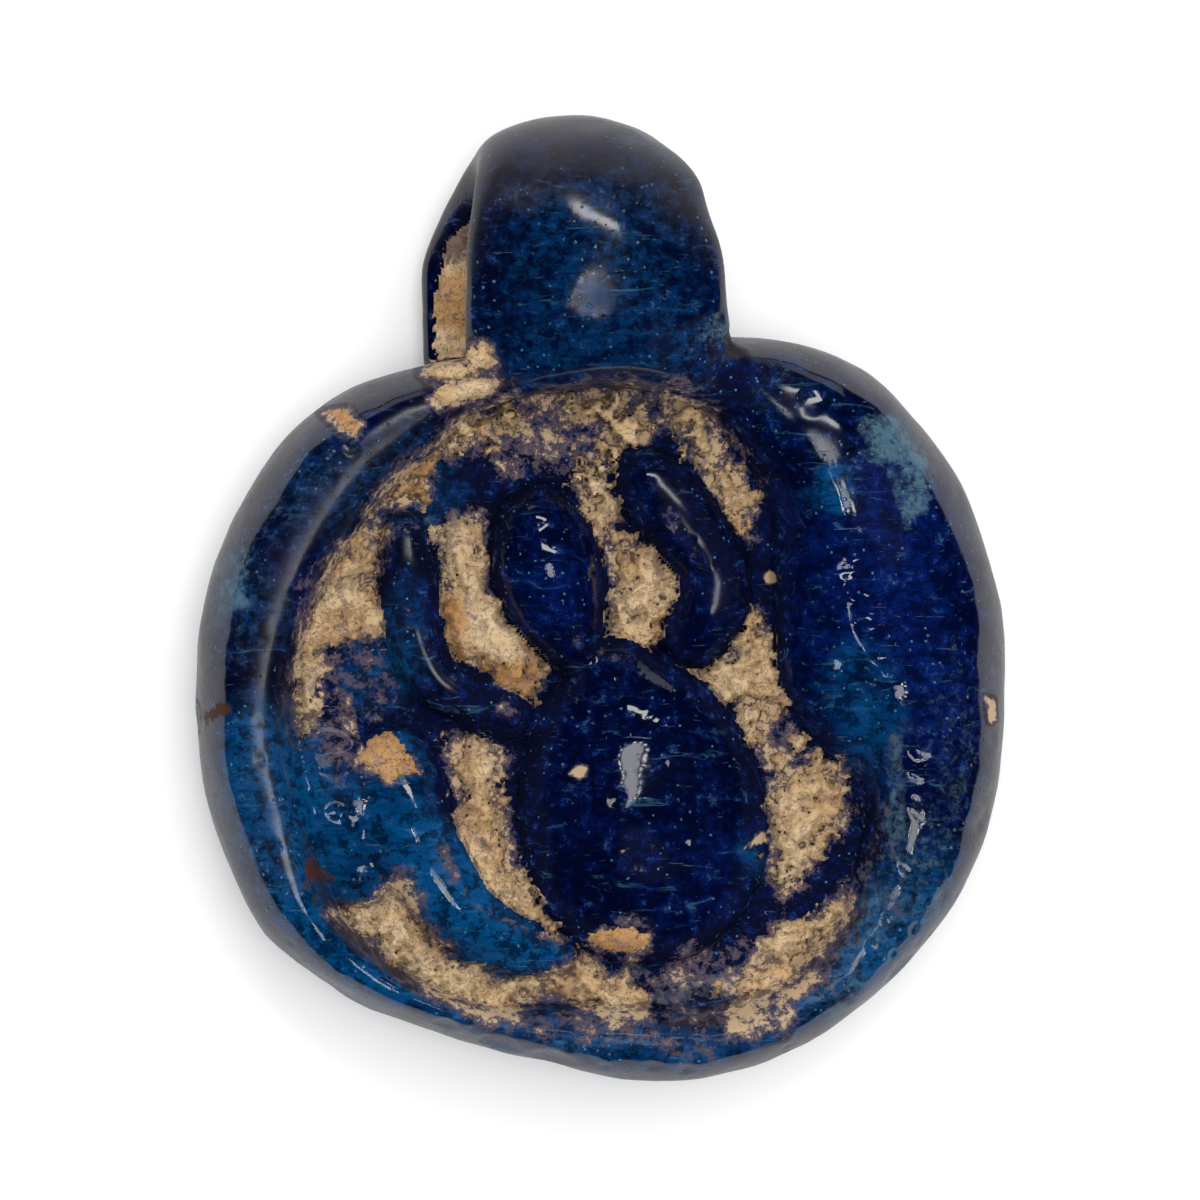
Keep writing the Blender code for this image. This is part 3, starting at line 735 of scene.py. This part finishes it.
FILM = (
    ((-3.6, 6.6, 0.8, 0.75), (-2.0, 7.0, 1.1, 0.85), (0.2, 7.3, 1.1, 0.8), (2.0, 7.2, 0.9, 0.85),
     (2.9, 6.3, 0.7, 0.8)),
    ((-1.9, 6.2, 0.7, 0.55), (-1.0, 6.0, 0.6, 0.6)),
    ((0.6, 3.6, 0.8, 0.7),), ((-0.3, 5.2, 0.5, 0.6),),
    ((-5.4, 4.6, 0.8, 0.8), (-6.2, 4.0, 0.5, 0.7)),
    ((-6.3, 1.2, 0.9, 0.75), (-6.2, -0.2, 0.9, 0.7), (-6.6, -1.2, 0.6, 0.5)),
    ((-4.0, -1.4, 0.5, 0.5), (-4.0, -2.6, 0.5, 0.5)),
    ((7.1, -0.6, 0.5, 0.5), (7.1, -2.2, 0.5, 0.5), (6.4, -4.2, 0.5, 0.6)),
    ((0.6, -6.5, 0.6, 0.75), (2.0, -6.4, 0.8, 0.75), (3.2, -5.8, 0.7, 0.6)),
    ((-1.2, -7.6, 0.6, 0.5), (0.8, -7.5, 0.7, 0.55), (2.4, -7.6, 0.8, 0.6), (3.2, -8.1, 0.5, 0.5)),
    ((5.2, -6.9, 0.6, 0.6), (6.0, -5.8, 0.7, 0.5), (6.9, -4.6, 0.7, 0.4)), ((-4.9, -4.3, 0.7, 0.5),),
    ((-4.2, 8.3, 0.5, 0.9), (-3.0, 8.2, 0.6, 0.9)),
)
FILM_OUTLINES = (
    (0.85, ((-4.0, 6.5), (-3.6, 7.3), (-2.6, 7.75), (-1.2, 8.05), (0.3, 8.15), (1.6, 7.95), (2.5, 7.7),
            (2.9, 7.0), (3.2, 6.3), (2.7, 6.0), (2.2, 6.4), (1.6, 6.95), (1.0, 6.8), (0.6, 6.3), (0.0, 6.3),
            (-0.8, 6.6), (-1.7, 6.3), (-2.6, 6.4), (-3.4, 6.2))),
    (0.55, ((-6.9, 1.9), (-5.3, 1.8), (-5.1, 0.6), (-5.4, -0.4), (-6.2, -1.0), (-7.2, -1.5), (-7.2, 0.5))),
    (0.62, ((0.9, -6.3), (2.2, -6.2), (3.2, -5.8), (4.3, -5.0), (3.5, -6.7), (3.4, -8.1), (2.0, -8.4),
            (1.0, -8.2), (-0.6, -8.0), (-1.9, -7.7), (-1.8, -7.2), (0.3, -7.2))),
    (0.55, ((-5.8, 4.9), (-4.6, 5.0), (-4.6, 4.5), (-5.6, 4.2), (-6.4, 4.4))),
    (0.85, ((-2.6, 6.2), (-2.4, 5.5), (-1.9, 6.1), (-1.0, 6.2), (-0.5, 5.4), (-0.2, 6.3), (-1.7, 6.7))),
)
CRUMBS = (
    ((3.95, 3.3), (4.1, 3.45), (4.28, 3.35), (4.25, 3.18), (4.05, 3.15)),
    ((-0.9, -1.5), (-0.7, -1.25), (-0.5, -1.35), (-0.52, -1.55), (-0.7, -1.62)),
    ((3.25, -3.42), (3.6, -3.15), (3.95, -2.9), (4.05, -3.15), (3.7, -3.28)),
    ((9.3, 0.4), (9.6, 0.35), (9.65, -0.2), (9.4, -0.3)),
)
# The veil on the loop's top: dust, and painted reflection of the pale room.
DUST_AND_REFLECTION_AREAS = (((-2.6, 12.9, 1.0, 0.8), (-0.8, 13.9, 1.1, 1.0), (0.8, 13.4, 0.9, 0.9), (2.2, 12.2, 0.7, 0.7)),)
QUIET = (
    ((1.8, 8.9, 0.9, 0.8), (3.2, 8.5, 1.0, 1.0), (3.9, 8.0, 0.8, 0.9)),
    ((6.2, 6.0, 0.6, 0.8), (6.7, 5.2, 0.7, 0.8), (6.9, 4.2, 0.8, 0.7)),
    ((-5.0, 3.1, 0.6, 0.8), (-4.7, 2.0, 0.7, 0.8)), ((-3.4, 0.5, 0.6, 0.7), (-2.7, 0.2, 0.5, 0.7)),
    ((2.2, 4.6, 0.6, 0.8), (2.8, 3.6, 0.6, 0.8)), ((0.93, -3.5, 0.7, 0.75),), ((-6.6, -1.4, 0.9, 0.6),),
    ((-0.2, 10.3, 1.0, 0.5),), ((5.7, 5.9, 0.5, 0.7),),
)
WANDER_SIZE = 1.4
TOP_ABOVE = 2.4
BACK_BELOW = 0.5
OUTSIDE_CENTRE_Y = 0.3
OUTSIDE_RADIUS = 8.0
SIDE_SATIN = 0.7
STEEP = (0.3, 0.8)
UPPER_FROM = 2.0
UPPER_OVER = 1.8
FLANK_BELOW = 0.93
FLANK_OVER = 0.15
FLANK_CLEAN = 0.85
STAMP_REACH = 1.02
INNER_REACH = 0.82
FILM_SPREAD = 0.6
CRUMB_STRENGTH = 1.3
CRUMB_SPREAD = 0.15
DULL_UP_TO = (0.1, 0.35)
FLANK_DULL_UP_TO = (0.7, 1.2)


def store(mesh, name, values):
    layer = mesh.attributes.new(name, "FLOAT", "POINT")
    layer.data.foreach_set("value", np.ascontiguousarray(values, dtype=np.float32))


def mesh_table(mesh):
    table = np.empty(len(mesh.vertices) * 3, dtype=np.float32)
    mesh.vertices.foreach_get("co", table)
    return table.reshape(-1, 3).astype(float)


glass_piece = object_from("pendant_glass", glass)
skin = mesh_table(glass_piece.data)
skin_x, skin_y, skin_z = skin.T
wander_x, wander_y = (soil_noise(skin_x, skin_y, WANDER_SIZE, seed) for seed in (2.0, 5.0))
on_top = skin_z > TOP_ABOVE


def wandering(amount):
    return skin_x + amount * wander_x, skin_y + amount * wander_y


def painted(areas):
    """How strongly each vertex belongs to the areas, with wandering edges."""
    strength = np.zeros(len(skin))
    for beads in areas:
        off, share = beads_near(beads, *wandering(0.5))
        strength = np.maximum(strength, share * kept(1.0 - off * off))
    return strength


facing_up = np.array([normal.vector.z for normal in glass_piece.data.vertex_normals])
steep = kept((STEEP[1] - facing_up) / (STEEP[1] - STEEP[0]))
outside = np.hypot(skin_x, skin_y - OUTSIDE_CENTRE_Y) > OUTSIDE_RADIUS
upper = kept((skin_z - UPPER_FROM) / UPPER_OVER)
for name, areas in GLOW_AND_WEATHERING.items():
    strength = painted(areas)
    if name in ("rust", "bloom"):
        strength = strength * upper
    if name == "satin":
        strength = np.maximum(strength, SIDE_SATIN * steep * outside)
    store(glass_piece.data, name, strength)
# The veil: dust on the steep outer sides and the loop's top, and also painted reflection of the pale room
# there.
store(glass_piece.data, "dust_and_reflection", np.maximum(steep * outside, painted(DUST_AND_REFLECTION_AREAS)) * (skin_z > BACK_BELOW))
film = painted(FILM)
for patches, spread in ((FIELD_SOIL.values(), FILM_SPREAD), (CLINGING, 0.5 * FILM_SPREAD)):
    for *_, outline in patches:
        inside = inside_by(outline, *wandering(0.2))
        film = np.maximum(film, kept(1.0 + inside / spread))
for strength, outline in FILM_OUTLINES:
    inside = inside_by(outline, *wandering(0.25))
    film = np.maximum(film, strength * kept(0.8 + inside / FILM_SPREAD))
off_centre = np.hypot(skin_x - DIE_CENTRE[0], skin_y - DIE_CENTRE[1])
in_stamp = off_centre < STAMP_REACH * DIE_RADIUS
on_flank = kept((FLANK_BELOW - facing_up) / FLANK_OVER) * in_stamp
film = film * on_top * (1.0 - FLANK_CLEAN * on_flank * (off_centre < INNER_REACH * DIE_RADIUS))
for outline in CRUMBS:
    inside = inside_by(outline, skin_x, skin_y)
    film = np.maximum(film, CRUMB_STRENGTH * kept(0.7 + inside / CRUMB_SPREAD))
store(glass_piece.data, "film", film * on_top)


def low_in_stamp(full, none):
    return 1.0 - kept((skin_z - FLOOR_HEIGHT - full) / (none - full))


dull = np.maximum(low_in_stamp(*DULL_UP_TO), on_flank * low_in_stamp(*FLANK_DULL_UP_TO))
store(glass_piece.data, "dull", np.maximum(dull * in_stamp, painted(QUIET)) * on_top)
print("areas of colour:", ", ".join([*GLOW_AND_WEATHERING, "dust_and_reflection", "film", "dull"]))

# %% [markdown]
# Shader maths reads best as ordinary sums. A small class wraps a socket, so that an expression on it adds the
# Math nodes that work it out, and one method makes every other node from its type, settings and inputs.

# %% A bench for shader nodes
def operator(operation, swapped=False):
    """A method that adds a Math node for a wire and another value."""
    def method(wire, other):
        return wire.math(operation, *((other, wire) if swapped else (wire, other)))
    return method


class Wire:
    """A socket that can be added, multiplied and compared like a number."""

    __add__, __radd__ = operator("ADD"), operator("ADD", True)
    __sub__, __rsub__ = operator("SUBTRACT"), operator("SUBTRACT", True)
    __mul__, __rmul__ = operator("MULTIPLY"), operator("MULTIPLY", True)
    most, least = operator("MAXIMUM"), operator("MINIMUM")

    def __init__(self, bench, socket):
        self.bench, self.socket = bench, socket

    def math(self, operation, *values):
        return self.bench.node("ShaderNodeMath", {"operation": operation}, dict(enumerate(values)))

    def over(self, low, high):
        """0 below low, 1 above high and smooth between."""
        settings = {"interpolation_type": "SMOOTHSTEP"}
        values = {"Value": self, "From Min": low, "From Max": high}
        return self.bench.node("ShaderNodeMapRange", settings, values)

    def kept(self):
        return self.most(0.0).least(1.0)


class Bench:
    """One material's nodes."""

    def __init__(self, name):
        self.material = bpy.data.materials.new(name)
        self.material.use_nodes = True
        self.tree = self.material.node_tree
        self.tree.nodes.clear()

    def node(self, kind, settings=None, values=None, output=0):
        made = self.tree.nodes.new(kind)
        for name, setting in (settings or {}).items():
            setattr(made, name, setting)
        for name, value in (values or {}).items():
            if isinstance(value, Wire):
                self.tree.links.new(value.socket, made.inputs[name])
            else:
                made.inputs[name].default_value = value
        return Wire(self, made.outputs[output])

    def area(self, name):
        return self.node("ShaderNodeAttribute", {"attribute_name": name}, output="Fac")

    def place(self, scale=(1.0, 1.0, 1.0)):
        """Object coordinates in millimetres, stretched by scale."""
        coordinates = self.node("ShaderNodeTexCoord", output="Object")
        stretch = tuple(share / MM for share in scale)
        return self.node("ShaderNodeVectorMath", {"operation": "MULTIPLY"}, {0: coordinates, 1: stretch})

    def noise(self, size, detail=3.0, stretch=(1.0, 1.0, 1.0), roughness=0.5, distortion=0.0):
        values = {"Vector": self.place(stretch), "Scale": 1.0 / size, "Detail": detail,
                  "Roughness": roughness, "Distortion": distortion}
        return self.node("ShaderNodeTexNoise", None, values)

    def cells(self, size):
        """How far each point is from the middle of the nearest of scattered cells."""
        values = {"Vector": self.place(), "Scale": 1.0 / size}
        return self.node("ShaderNodeTexVoronoi", {"feature": "F1"}, values)

    def layered(self, colour, *layers):
        """A colour with others laid over it in turn, each by its own share."""
        settings = {"data_type": "RGBA", "clamp_factor": True}
        for share, other in layers:
            colour = self.node("ShaderNodeMix", settings, {0: share, 6: colour, 7: other}, output=2)
        return colour

    def bump(self, height, distance):
        values = {"Height": height, "Distance": distance * MM, "Strength": 1.0}
        return self.node("ShaderNodeBump", None, values)

    def finish(self, shader, volume=None):
        out = self.tree.nodes.new("ShaderNodeOutputMaterial")
        self.tree.links.new(shader.socket, out.inputs["Surface"])
        if volume:
            self.tree.links.new(volume.socket, out.inputs["Volume"])
        return self.material


print("bench ready")

# %% [markdown]
# Cobalt glass this thick is nearly black where it is deep and clear blue where it is thin. Two things carry
# that: the shader lets about a fifth of the light through and tints it by an absorption that takes red
# first, and its own colour stands for the light that the bubbles and striae scatter back. In the azure and
# royal areas that colour is painted light, a glow where light shining through the thinner glass comes out.
# The film of soil, the veil of dust and painted reflection, the bloom and the dull hollows don't mirror
# anything, so they are a matt shader, mixed in by a mask.

# %% Cobalt glass
NAVY = (0.0007, 0.0017, 0.0155, 1.0)
# ROYAL and AZURE_GLOW also paint the glow of light coming through the thinner glass.
ROYAL = (0.0009, 0.0095, 0.094, 1.0)
AZURE_GLOW = (0.0006, 0.072, 0.205, 1.0)
TEAL = (0.001, 0.027, 0.08, 1.0)
PALE = (0.05, 0.17, 0.29, 1.0)
BLOOM = (0.08, 0.16, 0.22, 1.0)
# The veil's grey: dust, and painted reflection of the pale room on the steep sides.
DUST_AND_REFLECTION_GREY = (0.022, 0.017, 0.02, 1.0)
FILM_DARK = (0.072, 0.055, 0.075, 1.0)
FILM_TAN = (0.42, 0.3, 0.18, 1.0)
RUST = (0.05, 0.018, 0.008, 1.0)
GLASS_IOR = 1.5
GLASS_TRANSMISSION = 0.22
DEEP_TINT = (0.02, 0.35, 0.88, 1.0)
DEEP_DENSITY = 2600.0
GLASS_BUMP = 0.03
FILM_BUMP = 0.02
BUBBLE_SPACING = 0.27


def cobalt_glass():
    bench = Bench("cobalt_glass")
    cloud = bench.noise(2.2, 4.0, distortion=0.6)
    fine = bench.noise(0.38, 5.0, roughness=0.75)
    striae = bench.noise(0.45, 5.0, stretch=(0.3, 1.5, 1.0), roughness=0.7, distortion=1.0)
    areas = ("azure_glow", "royal_glow", "teal", "satin", "film", "dust_and_reflection", "bloom", "rust", "dull")
    azure_glow, royal_glow, teal, satin, film_area, dust_and_reflection_area, bloom_area, rust_area, dull = map(bench.area, areas)
    # The azure and royal areas are painted glow of light coming through the thinner glass.
    azure_glow = (azure_glow * (0.5 + 1.2 * cloud.over(0.3, 0.65)) + (fine - 0.5) * azure_glow).kept()
    royal_glow = (royal_glow * (0.6 + 0.8 * cloud.over(0.35, 0.65))).kept()
    teal = (teal * (0.3 + 1.3 * fine.over(0.35, 0.65))).kept()
    cells = bench.cells(BUBBLE_SPACING)
    bubbles = (1.0 - cells.over(0.07, 0.15)) * bench.noise(1.7, 2.0).over(0.42, 0.5)
    nicks = (1.0 - cells.over(0.08, 0.2)) * bench.noise(1.9, 2.0).over(0.44, 0.58)
    scratches = bench.noise(0.3, stretch=(0.2, 2.2, 0.7), distortion=1.2).over(0.685, 0.715)
    colour = bench.layered(
        NAVY,
        (cloud.over(0.45, 0.75) * 0.35, ROYAL),
        (royal_glow, ROYAL),
        (teal, TEAL),
        (azure_glow, AZURE_GLOW),
        (((1.0 - striae.over(0.36, 0.54)) * 0.75).most((1.0 - fine.over(0.42, 0.56)) * 0.8), NAVY),
        (fine.over(0.48, 0.64) * 0.55, ROYAL),
        ((striae.over(0.58, 0.72) * 0.4).most(fine.over(0.59, 0.72) * 0.34), PALE),
        (bubbles * 0.85, PALE),
        (scratches * 0.22, PALE),
    )
    height = 0.12 * bench.noise(0.5) - 0.5 * nicks - 0.1 * scratches
    rough = 0.06 + satin * (0.14 + 0.3 * striae) + 0.25 * scratches + 0.12 * fine.over(0.55, 0.7)
    wet = bench.node("ShaderNodeBsdfPrincipled", None, {
        "Base Color": colour, "Roughness": rough.kept(), "IOR": GLASS_IOR,
        "Transmission Weight": GLASS_TRANSMISSION, "Specular IOR Level": 0.5,
        "Normal": bench.bump(height, GLASS_BUMP),
    })

    mottle = bench.noise(0.24, 4.0, roughness=0.8)
    patch = bench.noise(0.8, 5.0, roughness=0.7)
    broken = (mottle - 0.5) * 2.7 + (patch - 0.5) * 2.4
    film = (film_area * 1.3 - 0.6 + broken).over(0.05, 0.45) * film_area.over(0.02, 0.3)
    tan = (film_area * 1.6 - 1.3 + broken).over(0.05, 0.45)
    bloom = (bloom_area * 1.2 + (mottle - 0.5) * 1.8).over(0.25, 1.1)
    rust = (rust_area * 1.3 + broken * 0.5).over(0.35, 0.9) * rust_area.over(0.05, 0.3)
    grime = dull.over(0.0, 0.7)
    matt_colour = bench.layered(
        colour,
        (dust_and_reflection_area.over(0.0, 0.4), DUST_AND_REFLECTION_GREY),
        (bloom, BLOOM),
        (film, bench.layered(FILM_DARK, (tan, FILM_TAN))),
        (rust, RUST),
    )
    matt = bench.node("ShaderNodeBsdfPrincipled", None, {
        "Base Color": matt_colour, "Roughness": (0.5 + 0.4 * film.most(rust).most(grime)).kept(),
        "IOR": GLASS_IOR, "Specular IOR Level": 0.08, "Normal": bench.bump(mottle, FILM_BUMP),
    })
    share = 0.9 * film * (0.45 + 0.55 * tan)
    # The veil mixes in matt grey on the steep sides: dust, and painted reflection of the pale room.
    dust_and_reflection = dust_and_reflection_area * (0.55 + 0.5 * patch)
    for other in (0.6 * bloom, 0.9 * rust, 0.66 * dust_and_reflection, grime, 0.85 * film_area.over(0.1, 0.5)):
        share = share.most(other)
    skin_shader = bench.node("ShaderNodeMixShader", None, {0: share.kept(), 1: wet, 2: matt})
    depth = bench.node("ShaderNodeVolumeAbsorption", None, {"Color": DEEP_TINT, "Density": DEEP_DENSITY})
    return bench.finish(skin_shader, depth)


glass_material = cobalt_glass()
print("made", glass_material.name)

# %% [markdown]
# The soil is fine silt with some clay. It is matt, tan to ochre, darker where it is thin, and pitted with
# tiny holes. Inside the loop it is painted darker deeper into the hole: painted shade. Its grains are far too
# small to model, so they are bump and colour.

# %% Burial soil
SOIL_TAN = (0.48, 0.31, 0.155, 1.0)
SOIL_PALE = (0.58, 0.425, 0.255, 1.0)
SOIL_OCHRE = (0.38, 0.19, 0.06, 1.0)
SOIL_DARK = (0.085, 0.058, 0.055, 1.0)
SOIL_GREY = (0.19, 0.14, 0.13, 1.0)
SOIL_BUMP = 0.045


def burial_soil():
    bench = Bench("burial_soil")
    clods = bench.noise(1.3, 4.0, roughness=0.6)
    grains = bench.noise(0.1, 3.0, roughness=0.8)
    stains = bench.noise(0.5, 5.0, roughness=0.75)
    specks = bench.noise(0.22, 4.0, roughness=0.8, distortion=0.5)
    # The soil darkens where it is thin, and inside the loop's hole it is painted darker for shade.
    worn = (bench.area("thin_or_hole_shade") * 0.9 + (specks - 0.5) * 2.5 + (stains - 0.5) * 2.4 - 0.2).over(0.1, 0.7)
    split = bench.noise(0.5, 4.0, roughness=0.6, distortion=1.6) - 0.5
    crack = 1.0 - split.math("ABSOLUTE", split).over(0.0, 0.016)
    colour = bench.layered(
        SOIL_TAN,
        (clods.over(0.38, 0.62), SOIL_PALE),
        (bench.area("ochre").most(stains.over(0.56, 0.74) * 0.5), SOIL_OCHRE),
        (grains.over(0.53, 0.72) * 0.4, SOIL_GREY),
        ((1.0 - stains.over(0.37, 0.48)) * 0.65, SOIL_GREY),
        (specks.over(0.57, 0.69) * 0.8, SOIL_DARK),
        (worn * 0.85, SOIL_DARK),
        (crack * 0.3, SOIL_DARK),
    )
    shader = bench.node("ShaderNodeBsdfPrincipled", None, {
        "Base Color": colour, "Roughness": (0.85 + 0.12 * grains).kept(), "Specular IOR Level": 0.25,
        "Normal": bench.bump(grains + 0.6 * specks + 0.3 * stains - 0.5 * crack, SOIL_BUMP),
    })
    return bench.finish(shader)


soil_material = burial_soil()
print("made", soil_material.name)

# %% [markdown]
# Everything was built in millimetres, where Blender's tools are at their best, and the frame is in metres.
# Each piece's mesh is scaled once, so the object itself stays unscaled at the origin.

# %% Put the pieces in the frame
THIN_SOIL = 0.18
# How far into the loop's hole the soil is painted darker, for shade.
HOLE_SHADE_ABOVE = 10.7
HOLE_SHADE_OVER = 0.5
HOLE_SHADE_MOST = 1.3
OCHRE_SPREAD = 0.4
OCHRE_MOST = 0.8
OCHRE_SOIL = (
    ((-4.2, 10.6), (-3.6, 10.8), (-3.0, 10.5), (-2.9, 9.5), (-3.4, 9.3), (-4.1, 9.6)),
    ((-6.2, -0.3), (-4.5, -0.3), (-4.4, -1.8), (-6.2, -1.6)),
    ((-0.5, -5.2), (1.2, -5.2), (1.2, -6.0), (-0.5, -6.0)),
    ((-3.0, 1.2), (-1.6, 1.2), (-1.5, -0.1), (-2.8, -0.1)),
    ((-7.0, 7.6), (-5.8, 7.6), (-5.8, 6.6), (-7.0, 6.6)),
    ((-4.1, 2.8), (-3.5, 2.8), (-3.4, 1.2), (-4.1, 1.2)),
    ((3.8, 3.6), (4.4, 3.6), (4.4, 3.0), (3.8, 3.0)),
    ((-4.6, 6.0), (-4.0, 6.6), (-4.2, 5.2), (-5.0, 5.2)),
    ((-1.0, -1.2), (-0.4, -1.2), (-0.4, -1.7), (-1.0, -1.7)),
)


def dress(piece, material):
    mesh = piece.data
    mesh.transform(Matrix.Scale(MM, 4))
    mesh.materials.append(material)
    mesh.shade_smooth()
    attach(piece, "root")
    print(piece.name, len(mesh.polygons), "faces")


dress(glass_piece, glass_material)
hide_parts("glass_pendant")
for name, shape in (("soil_in_stamp", field_soil), ("soil_on_rim", rim_soil), ("soil_in_loop", loop_soil)):
    piece = object_from(name, shape)
    x, y, z = mesh_table(piece.data).T
    thin_or_hole_shade = np.zeros(len(x))
    if name == "soil_in_stamp":
        thin_or_hole_shade = kept(1.0 - (z - glass_under(x, y, ABOVE_ALL)) / THIN_SOIL)
    # Painted shade: the soil in the loop is darkened deeper into the hole, under the strap.
    if name == "soil_in_loop":
        thin_or_hole_shade = np.clip((y - HOLE_SHADE_ABOVE) / HOLE_SHADE_OVER, 0.0, HOLE_SHADE_MOST)
    store(piece.data, "thin_or_hole_shade", thin_or_hole_shade)
    ochre = np.zeros(len(x))
    for outline in OCHRE_SOIL:
        inside = inside_by(outline, x, y)
        ochre = np.maximum(ochre, np.clip(0.5 + inside / OCHRE_SPREAD, 0.0, OCHRE_MOST))
    store(piece.data, "ochre", ochre)
    dress(piece, soil_material)

# %% [markdown]
# The pendant lies on a white sheet. A big soft light from the right lights it and throws the shadow to the
# left, but it is kept out of reflections, because in dark glass a big light would be a big white blot. What
# the glass does mirror is a narrow strip, a pale card behind the loop, and a small oval lamp by the lens
# with a ring of tiny ones round it.

# %% Floor and lights
FLOOR_SIZE = 1.2
SHEET_WHITE = (0.96, 0.96, 0.96, 1.0)
floor_shape = bmesh.new()
bmesh.ops.create_grid(floor_shape, x_segments=1, y_segments=1, size=FLOOR_SIZE / 2)
floor = object_from("floor", floor_shape)
floor_bench = Bench("white_sheet")
floor.data.materials.append(floor_bench.finish(floor_bench.node(
    "ShaderNodeBsdfPrincipled", None, {"Base Color": SHEET_WHITE, "Roughness": 0.9}
)))

AIM = Vector((0.0, 0.002, 0.003))


def lamp(name, azimuth, height, distance, size, power, mirrored, roll=0.0, outline="RECTANGLE"):
    """An area lamp that shines at the pendant. azimuth is counted from +X towards +Y and height from the
    floor, in degrees, and size is its width and its length in metres."""
    data = bpy.data.lights.new(name, "AREA")
    data.shape = outline
    data.size, data.size_y = size
    data.energy = power
    made = linked(name, data)
    turn, rise = math.radians(azimuth), math.radians(height)
    out = Vector((math.cos(rise) * math.cos(turn), math.cos(rise) * math.sin(turn), math.sin(rise)))
    made.location = AIM + out * distance
    rolled = Matrix.Rotation(math.radians(roll), 3, "Z").to_quaternion()
    made.rotation_euler = (out.to_track_quat("Z", "Y") @ rolled).to_euler()
    made.visible_glossy = mirrored
    made.visible_camera = False


RING_LAMPS = 12
RING_RADIUS = 9.0
RING_HEIGHT = 86.0

lamp("soft_key", 14, 60, 0.5, (0.36, 0.36), 0.45, False)
lamp("strip", 84, 59, 0.4, (0.25, 0.05), 0.42, True, roll=-5)
lamp("pale_card", 90, 12, 0.35, (0.5, 0.1), 0.16, True)
lamp("soft_face", -90, 86, 0.3, (0.066, 0.08), 0.075, True, outline="ELLIPSE")
for k in range(RING_LAMPS):
    turn = 2 * math.pi * k / RING_LAMPS
    side, rise = RING_RADIUS * math.cos(turn), RING_HEIGHT - 90.0 + RING_RADIUS * math.sin(turn)
    azimuth = math.degrees(math.atan2(rise, side))
    lamp(f"ring_lamp_{k}", azimuth, 90.0 - math.hypot(side, rise), 0.3, (0.01, 0.01), 0.0055, True)

world = bpy.data.worlds.new("pale_room")
world.use_nodes = True
background = world.node_tree.nodes["Background"]
background.inputs["Color"].default_value = (1.0, 1.0, 1.0, 1.0)
background.inputs["Strength"].default_value = 1.0
world.cycles_visibility.glossy = False
bpy.context.scene.world = world
bpy.context.scene.view_settings.view_transform = "Standard"
